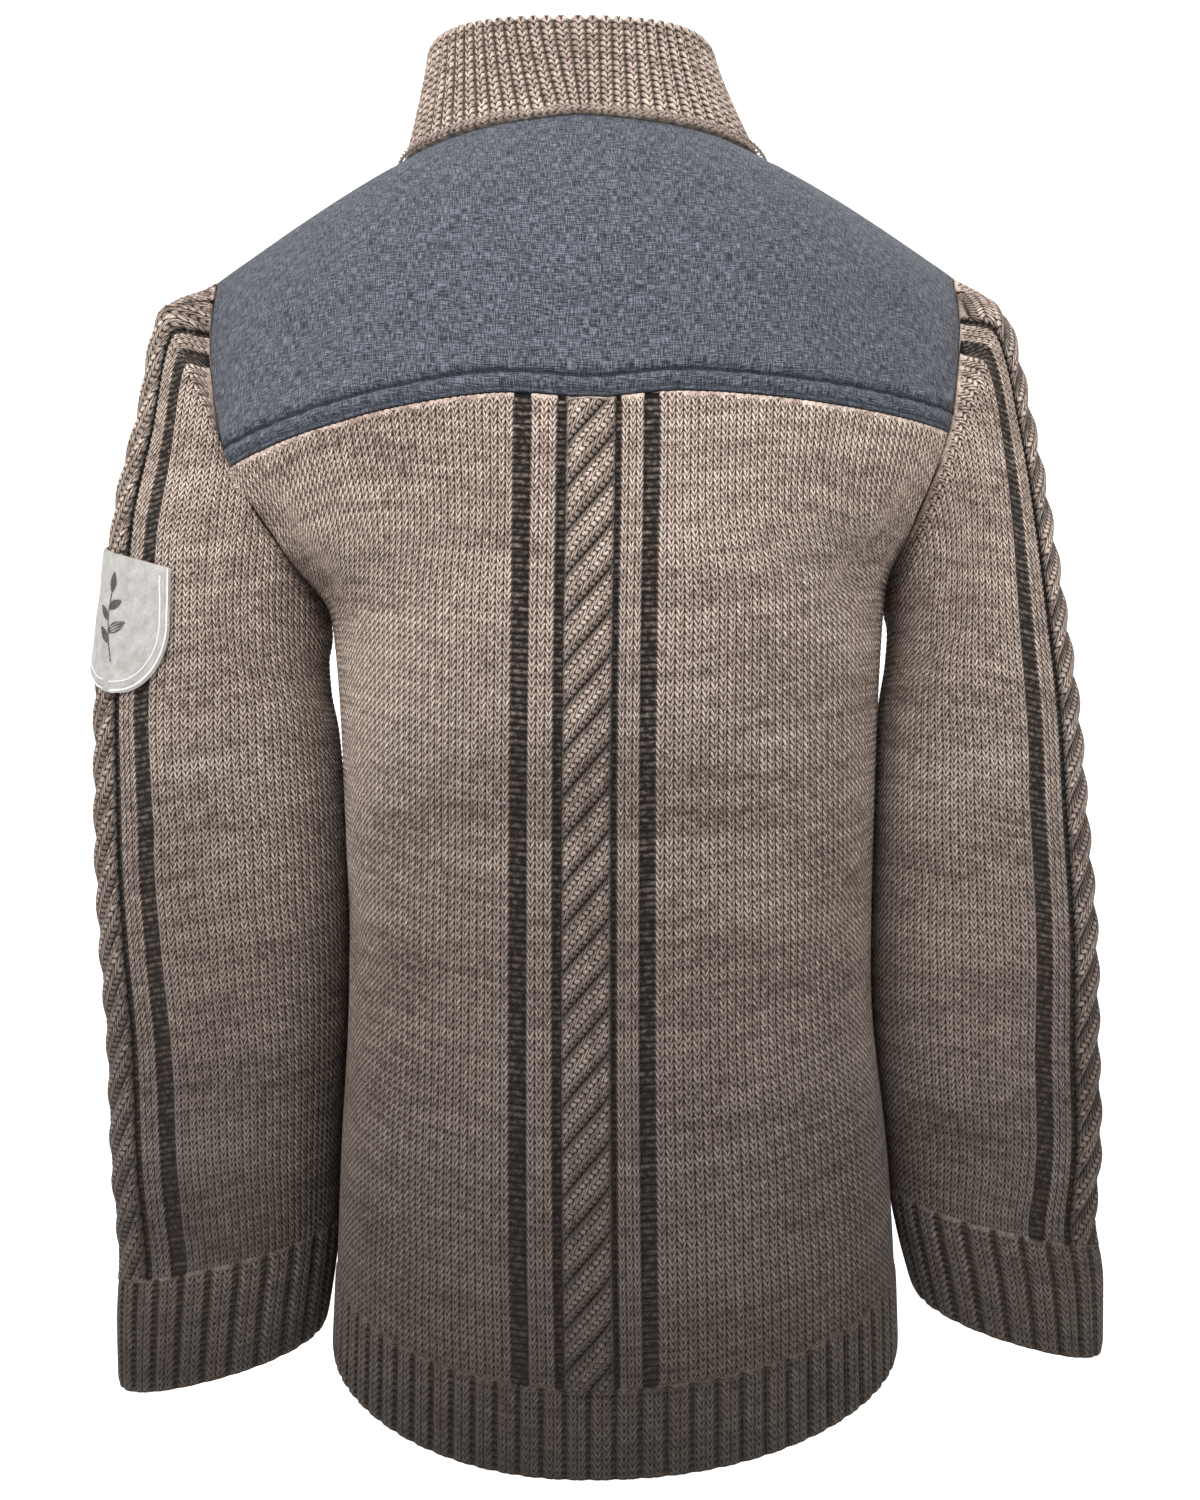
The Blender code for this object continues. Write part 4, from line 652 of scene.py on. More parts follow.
def plain_wales(first, last, count, height, run, dark=0.0):
    """Stocking stitch between two lines up a sheet: a valley and two legs for each wale."""
    wales = []
    for k in range(count):
        for place, shift in ((0.0, 0.0), (LEG_PLACES[0], LEG_SHIFT), (LEG_PLACES[1], LEG_SHIFT)):
            part = (k + place) / count
            relief = WALE_VALLEY if place == 0.0 else WALE_CREST
            wales.append(Wale(first + (last - first) * part, height + relief, k + place, None, shift,
                              0.0, dark, run))
    wales.append(Wale(last + 0.0 * first, height + WALE_VALLEY, float(count), None, 0.0, 0.0, dark, run))
    return wales


def purl_wales(first, last, count, height, run, dark):
    """A gutter of reverse stitches: flat ladders of small loops, under painted shade."""
    wales = []
    for k in range(2 * count + 1):
        part = k / (2 * count)
        relief = 0.0003 if k % 2 else 0.0
        wales.append(Wale(first + (last - first) * part, height + relief, k / 2, None, 0.0, 1.0, dark, run))
    return wales


CablePart = namedtuple("CablePart", "kind start end count height")
BACK_CABLE_LEFT = (CablePart("purl", -0.0390, -0.0310, 2, -GUTTER_DEPTH),
                   CablePart("rib", -0.0304, -0.0172, 3, RIB_HEIGHT),
                   CablePart("purl", -0.0166, -0.0133, 1, -GUTTER_DEPTH))
BACK_CABLE_RIGHT = (CablePart("purl", 0.0133, 0.0150, 1, -GUTTER_DEPTH),
                    CablePart("rib", 0.0156, 0.0270, 3, RIB_HEIGHT),
                    CablePart("purl", 0.0276, 0.0347, 2, -GUTTER_DEPTH))
SLEEVE_CABLE_SIDE = (CablePart("purl", 0.0133, 0.0163, 1, -GUTTER_DEPTH),
                     CablePart("rib", 0.0169, 0.0294, 3, RIB_HEIGHT),
                     CablePart("purl", 0.0300, 0.0378, 2, -GUTTER_DEPTH))
CABLE_COLUMNS = 19
CABLE_WALES = 3
CABLE_COURSES = 5.9
CABLE_CREASE_REACH = 0.27
CABLE_WALE_RELIEF = 0.00025
# Painted shade in the sunk gutters of reverse stitches
GUTTER_SHADE = 0.92
# Painted shade in the cable's creases, and at its edges from this share of its half width outwards
CABLE_CREASE_SHADE = 0.97
CABLE_EDGE_SHADE_FROM = 0.88
# A wale's last row lies at least this share of a row under the panel's edge, with this share of its relief
LAST_ROW_SPARE = 0.35
LAST_ROW_RELIEF = 0.3
# Painted shade on the inner side of the walls
INNER_SHADE = 0.12


def cable_parts(sheet, parts, centre, run):
    wales = []
    for index, part in enumerate(parts):
        first = metric_shares(sheet, centre + part.start)
        last = metric_shares(sheet, centre + part.end)
        if part.kind == "purl":
            wales += purl_wales(first, last, part.count, part.height, run + index, GUTTER_SHADE)
        else:
            wales += plain_wales(first, last, part.count, part.height, run + index)
    return wales


def cable_wales(sheet, centre, bottom, pitch, run):
    """The rope cable itself. Its height, its map and the painted shade in its creases follow its lobes."""
    wales = []
    for place in np.linspace(-1.0, 1.0, CABLE_COLUMNS):
        slant = rope_slant(place)

        def turns(ups, slant=slant):
            return (ups - bottom) / pitch - slant

        def height(ups, place=place, turns=turns):
            fine = -np.abs(np.cos(np.pi * CABLE_WALES * turns(ups))) ** 3 * CABLE_WALE_RELIEF
            return rope_height(place, turns(ups)) + fine * (1.0 - place ** 2)

        def across(ups, turns=turns):
            return CABLE_WALES * turns(ups)

        # Painted shade in the creases between lobes and along the cable's edges
        def dark(ups, place=place, turns=turns):
            crease = np.abs(turns(ups) - np.round(turns(ups)))
            deep = np.clip(1.0 - crease / CABLE_CREASE_REACH, 0.0, 1.0) ** 1.1
            edge = (abs(place) - CABLE_EDGE_SHADE_FROM) / (1.0 - CABLE_EDGE_SHADE_FROM)
            return CABLE_CREASE_SHADE * np.maximum(deep, max(0.0, edge))

        wales.append(Wale(metric_shares(sheet, centre + place * CABLE_WIDTH / 2), height, across,
                          CABLE_COURSES * place, 0.0, 0.0, dark, run))
    return wales


def along_line(value, ups):
    return value(ups) if callable(value) else np.full(len(ups), float(value))


def knit_panel(cloth, sheet, wales, bottom, top_of, lift=None, closed=False):
    """Build the wales of a panel and join them. Rows stand one half course apart, from the bottom of each
    wale up, and each wale ends where the panel's upper edge cuts it."""
    row = COURSE / 2
    entries = []
    for wale in wales:
        line = line_at(sheet, wale.shares)
        top = top_of(line)
        count = max(2, int((top - bottom) / row - LAST_ROW_SPARE - wale.shift) + 1)
        steps = np.arange(1, count)
        ups = np.concatenate([[bottom], bottom + (steps + wale.shift) * row, [top]])
        ups = np.minimum(ups, top)
        points, normals = pick(line, ups)
        height = along_line(wale.height, ups)
        if wale.shift:
            height = height + LEG_ROLL * np.where(np.arange(len(ups)) % 2, 1.0, -1.0)
        ends = np.ones(len(ups))
        ends[-1] = LAST_ROW_RELIEF
        height = np.where(height > 0, height * ends, height)
        if lift:
            height = height + lift(line, ups)
        across = along_line(wale.across, ups)
        rise = ups / COURSE if wale.rise is None else np.full(len(ups), wale.rise)
        dark = along_line(wale.dark, ups)
        ids = cloth.add(points + normals * height[:, None], wale.purl, dark)
        entries.append({"ids": ids, "map": np.stack([across, rise], axis=1), "run": wale.run, "ups": ups,
                        "share": share_of(line, ups[0]), "plain_map": ups / COURSE})
    if closed:
        last = dict(entries[0])
        last.update(share=1.0, run=wales[-1].run)
        last["map"] = last["map"] + np.array([np.round(entries[-1]["map"][0, 0]), 0.0])
        entries.append(last)
    for left, right in zip(entries, entries[1:]):
        level = min(len(left["ids"]), len(right["ids"])) - 1
        left_map, right_map = left["map"][:level], right["map"][:level]
        if left["run"] != right["run"]:
            left_map = np.stack([np.zeros(level), left["plain_map"][:level]], axis=1)
            right_map = left_map
        cloth.ribbon(left["ids"][:level], right["ids"][:level], left_map, right_map)
        cloth.strip(left["ids"][level - 1:], right["ids"][level - 1:], left["ups"][level - 1:],
                    right["ups"][level - 1:])
    return entries


# One 2x1 rib: share of its pitch, height, place in wales, and whether it is the purl gutter
RibPlace = namedtuple("RibPlace", "share height across purl")
RIB_PLACES = (RibPlace(0.0, -0.0012, 0.5, 1.0), RibPlace(0.065, -0.0009, 0.9, 1.0),
              RibPlace(0.13, 0.0000, 0.0, 0.0), RibPlace(0.28, 0.0014, 0.35, 0.0),
              RibPlace(0.42, 0.0013, 0.72, 0.0), RibPlace(0.50, 0.0006, 1.0, 0.0),
              RibPlace(0.58, 0.0013, 1.28, 0.0), RibPlace(0.71, 0.0014, 1.65, 0.0),
              RibPlace(0.87, 0.0000, 2.0, 0.0), RibPlace(0.935, -0.0009, 2.1, 1.0))
# Painted shade in the purl hollows between the ribs
RIB_GUTTER_SHADE = 0.85


def rib_places(first, last, count):
    """Shares of the width, heights, places in the stitch map and purl values of a row of 2x1 ribs."""
    columns = [(first + (k + place.share) * (last - first) / count, place.height, place.across + 3 * k,
                place.purl) for k in range(count) for place in RIB_PLACES]
    columns.append((last, RIB_PLACES[0].height, 0.5 + 3 * count, 1.0))
    return [np.array(values) for values in zip(*columns)]


# Strength of the rib relief from the lower edge up, in metres, and at the upper end of the ribbing
RIB_STARTS = (0.0, 0.002, 0.006)
RIB_STRENGTHS = (0.35, 0.8, 1.0, 1.0, 0.8)


def ribbing(cloth, sheet, first, last, count, height, lift=None, closed=False):
    """Fine 2x1 ribs along the lower edge of a sheet."""
    rows = int(round(height / COURSE))
    ups = np.linspace(0.0, height, rows + 1)
    shares, relief, across, purl = rib_places(first, last, count)
    strength = np.interp(ups, RIB_STARTS + (height * 0.9, height), RIB_STRENGTHS)
    columns = []
    for share, high in zip(shares, relief):
        line = share_line(sheet, share)
        points, normals = pick(line, ups)
        raised = high * strength
        if lift:
            raised = raised + lift(line, ups)
        columns.append(points + normals * raised[:, None])
    ids = cloth.sheet(np.stack(columns, axis=1), across[None, :], ups[:, None] / COURSE, purl[None, :],
                      RIB_GUTTER_SHADE * purl[None, :], closed=closed)
    return ids, shares


def entries_of(ids, shares, all_ups):
    """The columns of a sheet of points, in the form in which close_panel joins them."""
    return [{"ids": ids[:, c], "share": share, "ups": all_ups[c]} for c, share in enumerate(shares)]


def inner_side(cloth, sheet, shares, rows, thickness, bottom_of, top_of, lift=None, seams=None, drop=False,
               armhole=None, width=None):
    """The plain inner side of a wall. A seam's edge turns towards the middle of its armhole, and so does the
    upper end of a sleeve, which is closed all round."""
    columns, all_ups = [], []
    for share in shares:
        line = share_line(sheet, share)
        ups = np.linspace(bottom_of(line), top_of(line), rows + 1)
        points, normals = pick(line, ups)
        rise = lift(line, ups)[:, None] if lift else np.zeros((len(ups), 1))
        inside = points + normals * (rise - thickness)
        if drop:
            inside[-1] = points[-1] + normals[-1] * rise[-1] - np.array([0, 0, thickness])
        if armhole is not None:
            inside[-1] = points[-1] + unit(armhole - points[-1]) * thickness
        for seam_share, middle, from_row in seams or ():
            if share == seam_share:
                inside[:-1] = (points - unit(normals * np.array([1.0, 0.0, 1.0])) * thickness)[:-1]
                on_seam = ups >= line["up"][from_row] - SEAM_START_BELOW
                inside[on_seam] = points[on_seam] + unit(middle - points[on_seam]) * thickness
        columns.append(inside)
        all_ups.append(ups)
    across = np.asarray(shares)[None, :] * (width or width_at(sheet)) / WALE
    ids = cloth.sheet(np.stack(columns, axis=1), across,
                      np.stack(all_ups, axis=1) / COURSE, 1.0, INNER_SHADE, closed=armhole is not None,
                      inside=True)
    return entries_of(ids, shares, all_ups)


def close_panel(cloth, outer, inner, ribs=None, rib_shares=None, closed=False):
    """Join the outer and inner sides along all edges of a panel."""
    outer_foot = [entry["ids"][0] for entry in outer]
    outer_at = np.array([entry["share"] for entry in outer])
    inner_foot = [entry["ids"][0] for entry in inner]
    inner_at = np.array([entry["share"] for entry in inner])
    if ribs is not None:
        cloth.strip(outer_foot, list(ribs[-1]), outer_at, rib_shares)
        cloth.strip(list(ribs[0]), inner_foot, rib_shares, inner_at)
    else:
        cloth.strip(outer_foot, inner_foot, outer_at, inner_at)
    cloth.strip([entry["ids"][-1] for entry in inner], [entry["ids"][-1] for entry in outer],
                inner_at, outer_at)
    if closed:
        return
    low = list(ribs[:, 0]) if ribs is not None else []
    high = list(ribs[:, -1]) if ribs is not None else []
    low_at = list(np.linspace(0.0, outer[0]["ups"][0], len(low) + 1)[:-1]) if low else []
    cloth.strip(list(inner[0]["ids"]), low + list(outer[0]["ids"]), inner[0]["ups"],
                low_at + list(outer[0]["ups"]))
    cloth.strip(high + list(outer[-1]["ids"]), list(inner[-1]["ids"]), low_at + list(outer[-1]["ups"]),
                inner[-1]["ups"])


def make_back(back, middles, material):
    cloth = Cloth()
    low = SEAM_GAP / width_at(back)
    rows = len(back["points"])
    width = width_at(back)

    def top_of(line):
        return yoke_edge_up(back, line) - SEAM_GAP

    left_edge = metric_shares(back, BACK_CABLE_LEFT[0].start - RUN_GAP)
    right_edge = metric_shares(back, BACK_CABLE_RIGHT[-1].end + RUN_GAP)
    left_count = round((width / 2 + BACK_CABLE_LEFT[0].start) / WALE)
    right_count = round((width / 2 - BACK_CABLE_RIGHT[-1].end) / WALE)
    wales = plain_wales(np.full(rows, low), left_edge, left_count, 0.0, 0)
    wales += cable_parts(back, BACK_CABLE_LEFT, 0.0, 1)
    wales += cable_wales(back, 0.0, HEM_HEIGHT, CABLE_PITCH, 10)
    wales += cable_parts(back, BACK_CABLE_RIGHT, 0.0, 20)
    wales += plain_wales(right_edge, np.full(rows, 1.0 - low), right_count, 0.0, 30)
    outer = knit_panel(cloth, back, wales, HEM_HEIGHT, top_of)
    ribs, rib_shares = ribbing(cloth, back, low, 1.0 - low, round(width / HEM_RIB_PITCH),
                               HEM_HEIGHT - RIB_JOIN)
    seam_row = back["rail_rows"]["underarm"]
    seams = ((low, middles["left"], seam_row), (1.0 - low, middles["right"], seam_row))
    shares = np.clip(np.linspace(0.0, 1.0, INNER_COLUMNS), low, 1.0 - low)
    inner = inner_side(cloth, back, shares, INNER_STEPS, KNIT_WALL, lambda line: 0.0, top_of, seams=seams)
    close_panel(cloth, outer, inner, ribs, rib_shares)
    return cloth.make("back_knit", material)


def make_front(name, front, side, armhole, material):
    """One front, from its side seam to its button band. The wearer's right is side +1."""
    cloth = Cloth()
    low = SEAM_GAP / width_at(front)
    rows = len(front["points"])
    width = width_at(front)

    def top_of(line):
        return neck_top(line, NECK_FRONT)

    def lift(line, ups):
        return front_lift(front, line, ups) if side < 0 else np.zeros(len(ups))

    band_share = (BAND_WIDTH / 2 + BAND_GAP) / width
    first, last = (low, 0.5 - band_share) if side > 0 else (0.5 + band_share, 1.0 - low)
    count = round((last - first) * width / WALE)
    wales = plain_wales(np.full(rows, first), np.full(rows, last), count, 0.0, 0)
    outer = knit_panel(cloth, front, wales, HEM_HEIGHT, top_of, lift=lift)
    rib_count = round(width * (last - first) / HEM_RIB_PITCH)
    ribs, rib_shares = ribbing(cloth, front, first, last, rib_count, HEM_HEIGHT - RIB_JOIN, lift=lift)
    edge = low if side > 0 else 1.0 - low
    seams = ((edge, armhole, front["rail_rows"]["underarm"]),)
    inner_shares = neck_corners(front, np.linspace(first, last, FRONT_INNER_COLUMNS))
    inner = inner_side(cloth, front, inner_shares, INNER_STEPS, KNIT_WALL, lambda line: 0.0, top_of,
                       lift=lift, seams=seams, drop=True)
    close_panel(cloth, outer, inner, ribs, rib_shares)
    return cloth.make(name, material)


def make_band(name, front, offset, shorten, material):
    """A ribbed strip up the middle of the front."""
    cloth = Cloth()
    half = BAND_WIDTH / 2 / width_at(front)

    def top_of(line):
        return neck_top(line, NECK_FRONT) - shorten

    rows = int(top_of(share_line(front, 0.5)) / COURSE * 2)
    shares, heights, across, purl = rib_places(0.5 - half, 0.5 + half, BAND_RIBS)
    columns, all_ups = [], []
    for share, height in zip(shares, heights):
        line = share_line(front, share)
        ups = np.linspace(0.0, top_of(line), rows + 1)
        ends = np.clip(np.minimum(np.arange(rows + 1), np.arange(rows + 1)[::-1]) / 2.0, 0.3, 1.0)
        points, normals = pick(line, ups)
        columns.append(points + normals * (offset + height * ends)[:, None])
        all_ups.append(ups)
    ids = cloth.sheet(np.stack(columns, axis=1), across[None, :], np.stack(all_ups, axis=1) / COURSE,
                      purl[None, :], BAND_GUTTER_SHADE * purl[None, :])
    outer = entries_of(ids, shares, all_ups)
    inner = inner_side(cloth, front, np.linspace(0.5 - half, 0.5 + half, 9), INNER_STEPS * 2, BAND_WALL,
                       lambda line: 0.0, top_of, lift=lambda line, ups: np.full(len(ups), offset))
    close_panel(cloth, outer, inner)
    return cloth.make(name, material)


def make_sleeve(name, sheet, side, armhole, material):
    cloth = Cloth()
    centre = -side * CABLE_BEHIND_OUTER_LINE
    rows = len(sheet["points"])
    girth = float(np.mean(sheet["across"][:, -1] - sheet["across"][:, 0]))

    def top_of(line):
        return line["up"][-1]

    mirrored = tuple(CablePart(part.kind, -part.end, -part.start, part.count, part.height)
                     for part in reversed(SLEEVE_CABLE_SIDE))
    before = metric_shares(sheet, centre + mirrored[0].start - RUN_GAP)
    after = metric_shares(sheet, centre + SLEEVE_CABLE_SIDE[-1].end + RUN_GAP)
    wales = plain_wales(np.zeros(rows), before, round(float(before.mean()) * girth / WALE), 0.0, 0)
    wales += cable_parts(sheet, mirrored, centre, 1)
    wales += cable_wales(sheet, centre, CUFF_HEIGHT, SLEEVE_CABLE_PITCH, 10)
    wales += cable_parts(sheet, SLEEVE_CABLE_SIDE, centre, 20)
    wales += plain_wales(after, np.ones(rows), round((1 - float(after.mean())) * girth / WALE), 0.0, 30)[:-1]
    outer = knit_panel(cloth, sheet, wales, CUFF_HEIGHT, top_of, closed=True)
    ribs, rib_shares = ribbing(cloth, sheet, 0.0, 1.0, round(width_at(sheet) / CUFF_RIB_PITCH),
                               CUFF_HEIGHT - RIB_JOIN, closed=True)
    inner = inner_side(cloth, sheet, np.linspace(0.0, 1.0, SLEEVE_INNER_COLUMNS + 1), INNER_STEPS, KNIT_WALL,
                       lambda line: 0.0, top_of, armhole=armhole, width=girth)
    close_panel(cloth, outer, inner, ribs, rib_shares, closed=True)
    return cloth.make(name, material)


# The yoke's lower edge: height over the edge, and height of the padded cloth there
YOKE_PROFILE = ((0.0, 0.0003), (0.0012, 0.0011), (0.0026, 0.0002), (0.0036, 0.0012), (0.0062, 0.0032),
                (0.0086, 0.0027), (0.0103, 0.0004), (0.0110, -0.0006), (0.0119, 0.0007), (0.0150, 0.0025),
                (0.0200, 0.0018), (0.0300, 0.0006), (0.0400, 0.0))
# Painted shade in the sewn grooves and under the padded band: height over the edge, reach, depth of shade
YOKE_SHADOWS = ((0.0110, 0.0013, 0.85), (0.0027, 0.0009, 0.45), (0.0, 0.0012, 0.55))
YOKE_GROOVE_UP = 0.0109
YOKE_TOPSTITCH_UP = 0.0027
YOKE_COLUMNS = 231
YOKE_BAND_ROWS = 26
YOKE_BAND_TOP = 0.0185
YOKE_UPPER_ROWS = 62
PUCKER_DEPTH = 0.00055
PUCKER_REACH = 0.014


# Waves of the gathers along the yoke's edge: strength, length, start, and how far and fast they drift
PuckerWave = namedtuple("PuckerWave", "strength length start drift pace")
PUCKER_WAVES = (PuckerWave(1.0, 0.0135, 0.0, 1.7, 31.0), PuckerWave(0.6, 0.0212, 2.1, 0.0, 0.0),
                PuckerWave(0.5, 0.0068, 0.0, 3.0, 17.0))


def yoke_puckers(across, above):
    """Small uneven gathers that the two lines of sewing pull into the cloth, stronger towards the arms."""
    waves = sum(wave.strength * np.sin(across * 2 * np.pi / wave.length + wave.start
                                       + wave.drift * np.sin(across * wave.pace)) for wave in PUCKER_WAVES)
    near = np.exp(-((above - YOKE_GROOVE_UP) / PUCKER_REACH) ** 2)
    stronger = 0.55 + 0.45 * np.clip((np.abs(across) - 0.10) / 0.09, 0.0, 1.0)
    return PUCKER_DEPTH * waves * near * stronger


def yoke_bounds(back):
    def top_of(line):
        return neck_top(line, NECK_BACK)

    def bottom_of(line):
        return yoke_edge_up(back, line) + SEAM_GAP

    return bottom_of, top_of


def make_yoke(back, middles, material):
    cloth = Cloth()
    low = SEAM_GAP / width_at(back)
    bottom_of, top_of = yoke_bounds(back)
    shares = neck_corners(back, np.clip(np.linspace(0.0, 1.0, YOKE_COLUMNS), low, 1.0 - low))
    above_edge = np.array([place for place, _ in YOKE_PROFILE])
    heights = np.array([height for _, height in YOKE_PROFILE])
    columns, all_ups, all_across, all_shade = [], [], [], []
    for share in shares:
        line = share_line(back, share)
        bottom, top = bottom_of(line), top_of(line)
        ups = np.concatenate([bottom + np.linspace(0.0, YOKE_BAND_TOP, YOKE_BAND_ROWS, endpoint=False),
                              np.linspace(bottom + YOKE_BAND_TOP, top, YOKE_UPPER_ROWS + 1)])
        rows = np.interp(ups, line["up"], np.arange(len(line["up"])))
        width = np.interp(rows, np.arange(len(line["up"])), back["across"][:, -1] - back["across"][:, 0])
        across = (share - 0.5) * width
        relief = np.interp(ups - bottom, above_edge, heights) + yoke_puckers(across, ups - bottom)
        end = min(share - shares[0], shares[-1] - share)
        relief = relief * smooth_step(end / YOKE_END_SHARE) * smooth_step((top - ups) / 0.004)
        points, normals = pick(line, ups)
        columns.append(points + normals * relief[:, None])
        all_ups.append(ups)
        all_across.append(across)
        # Painted shade along both lines of sewing and under the band
        all_shade.append(sum(depth * np.exp(-((ups - bottom - place) / reach) ** 2)
                            for place, reach, depth in YOKE_SHADOWS))
    ids = cloth.sheet(np.stack(columns, axis=1), np.stack(all_across, axis=1) * 1000.0,
                      np.stack(all_ups, axis=1) * 1000.0, 0.0, np.stack(all_shade, axis=1))
    outer = entries_of(ids, shares, all_ups)
    inner_shares = neck_corners(back, np.clip(np.linspace(0.0, 1.0, INNER_COLUMNS), low, 1.0 - low))
    seams = ((low, middles["left"], 0), (1.0 - low, middles["right"], 0))
    inner = inner_side(cloth, back, inner_shares, INNER_STEPS, CLOTH_WALL, bottom_of, top_of,
                       seams=seams, drop=True)
    close_panel(cloth, outer, inner)
    return cloth.make("yoke_cloth", material)


def yoke_sewing(back):
    """Where the stitches of the two lines along the yoke's lower edge lie, and which way they run."""
    bottom_of, _ = yoke_bounds(back)
    low = SEAM_GAP / width_at(back)
    lines = []
    for up, sink in ((YOKE_GROOVE_UP, -0.00005), (YOKE_TOPSTITCH_UP, 0.00035)):
        path, outs = [], []
        for share in np.linspace(low + 0.012, 1.0 - low - 0.012, 200):
            line = share_line(back, share)
            points, normals = pick(line, np.array([bottom_of(line) + up]))
            width = width_at(back, back["rail_rows"]["yoke_edge"])
            pucker = yoke_puckers(np.array([(share - 0.5) * width]), np.array([up]))[0]
            path.append(points[0] + normals[0] * (sink + 0.0003 + pucker))
            outs.append(normals[0])
        lines.append((np.array(path), np.array(outs)))
    return lines


# How far before and behind a stitch its direction is read
SIDE_STEP = 0.0004


def even_stitches(path, outs, spacing):
    """Places, directions and outward directions of stitches at one spacing along a path."""
    along = run_lengths(path)
    wanted = np.arange(spacing / 2, along[-1], spacing)
    ways = interp_rows(wanted + SIDE_STEP, along, path) - interp_rows(wanted - SIDE_STEP, along, path)
    return interp_rows(wanted, along, path), unit(ways), unit(interp_rows(wanted, along, outs))


# One rib of the collar: share of its pitch, height, place in its one wale, and its painted shade, deepest in
# the hollow between ribs
COLLAR_PLACES = ((0.0, -0.0013, 0.12, 0.80), (0.13, -0.0004, 0.15, 0.30), (0.30, 0.0011, 0.25, 0.0),
                 (0.5, 0.0012, 0.50, 0.0), (0.70, 0.0011, 0.75, 0.0), (0.87, -0.0004, 0.85, 0.30))
COLLAR_SIDE_ROWS = 34
COLLAR_FOLD_ROWS = 10
COLLAR_FOLD_SHARE = 0.045
COLLAR_GATHER = 0.0022
COLLAR_FOOT_SHARE = 0.012
COLLAR_GATHER_SHARE = 0.12
# Shares of the collar's height where its ribs start to rise and over which they reach their full relief
COLLAR_RIB_START = 0.05
COLLAR_RIB_RUN = 0.07
LINK_SHARE = 0.045
LINK_OUT = 0.0015
LINK_APART = 0.0016
LINK_SLANT = 0.5


def collar_ring(share, out, angles, seam_angles, seam_heights):
    points = collar_line(share, angles, seam_angles, seam_heights)
    flat = np.gradient(points, angles, axis=0) * np.array([1.0, 1.0, 0.0])
    outward = unit(np.stack([flat[:, 1], -flat[:, 0], flat[:, 2]], axis=1))
    return points + outward * np.broadcast_to(out, len(angles))[:, None], outward


def collar_angles(seam_angles, seam_heights, count):
    ends = COLLAR_FRONT_GAP / 2 / NECK_HALF_WIDTH
    all_round = np.linspace(ends, 2 * math.pi - ends, 600)
    along = run_lengths(collar_line(0.5, all_round, seam_angles, seam_heights))
    return all_round, along, np.interp(np.linspace(0, along[-1], count), along, all_round)


def make_collar(seam_angles, seam_heights, material):
    """A doubled rib collar: up its outer side, over the fold and down its inner side."""
    cloth = Cloth()
    all_round, along, _ = collar_angles(seam_angles, seam_heights, 2)
    ribs = round(along[-1] / COLLAR_RIB_PITCH)
    places, heights, across, dark = [], [], [], []
    for k in range(ribs):
        for share, height, place, depth in COLLAR_PLACES:
            places.append((k + share) / ribs)
            heights.append(height)
            across.append(place)
            dark.append(depth)
    places.append(1.0)
    dark.append(COLLAR_PLACES[0][3])
    heights.append(COLLAR_PLACES[0][1])
    across.append(float(ribs))
    angles = np.interp(np.array(places) * along[-1], along, all_round)
    heights = np.array(heights)
    side = np.linspace(COLLAR_FOOT_SHARE, 1.0 - COLLAR_FOLD_SHARE, COLLAR_SIDE_ROWS)
    fold = np.linspace(0.0, math.pi, COLLAR_FOLD_ROWS + 2)[1:-1]
    half_wall = COLLAR_WALL / 2
    rows = [(share, COLLAR_GATHER * smooth_step(1.0 - share / COLLAR_GATHER_SHARE), 1.0,
             min(1.0, smooth_step((share - COLLAR_RIB_START) / COLLAR_RIB_RUN) + 0.1)) for share in side]
    rows += [(1.0 - COLLAR_FOLD_SHARE * (1.0 - math.sin(turn)), -half_wall + half_wall * math.cos(turn),
              math.cos(turn), 0.9) for turn in fold]
    rows += [(share, -COLLAR_WALL, -1.0, 0.8) for share in side[::-1]]
    points = []
    for share, out, facing, relief in rows:
        ring, _ = collar_ring(share, out + heights * relief * facing, angles, seam_angles, seam_heights)
        if abs(facing) < 1.0:
            ring[:, 2] += heights * relief * math.sqrt(1.0 - facing ** 2)
        points.append(ring)
    points = np.stack(points)
    rise = run_lengths(points[:, len(angles) // 2]) / COURSE
    ids = cloth.sheet(points, np.array(across)[None, :], rise[:, None], 0.0, np.array(dark)[None, :])
    cloth.strip(list(ids[0]), list(ids[-1]))
    half = len(rows) // 2
    cloth.strip(list(ids[half:, 0][::-1]), list(ids[:half + 1, 0]))
    cloth.strip(list(ids[:half + 1, -1]), list(ids[half:, -1][::-1]))
    return cloth.make("collar_rib", material)


def collar_links(seam_angles, seam_heights):
    """The linked chain that joins the collar to the neckline: two slanting legs for each link."""
    _, _, angles = collar_angles(seam_angles, seam_heights, 500)
    path, outward = collar_ring(LINK_SHARE, COLLAR_GATHER + LINK_OUT, angles, seam_angles, seam_heights)
    places, along, outs = even_stitches(path, outward, LINK_SPACING)
    upward = unit(np.cross(outs, along))
    both_places, both_along = [], []
    for side in (-1.0, 1.0):
        both_places.append(places + upward * side * LINK_APART / 2)
        both_along.append(unit(along - upward * side * LINK_SLANT))
    return np.concatenate(both_places), np.concatenate(both_along), np.concatenate([outs, outs])


def patch_place(sheet, x, y, offset):
    """A place on the patch, x across from its middle and y up from its foot, and the direction outwards."""
    distance = PATCH_CENTRE_BACK + x
    beside = abs(distance - CABLE_BEHIND_OUTER_LINE)
    lift = PATCH_CLEAR + PATCH_OVER_CABLE * smooth_step((PATCH_OVER_CABLE_REACH - beside)
                                                        / PATCH_OVER_CABLE_RUN)
    line = line_at(sheet, metric_shares(sheet, distance))
    up = PATCH_BOTTOM_UP + y - PATCH_SIDE_FALL * x / PATCH_WIDTH
    points, normals = pick(line, np.array([up]))
    return points[0] + normals[0] * (offset + lift), normals[0]


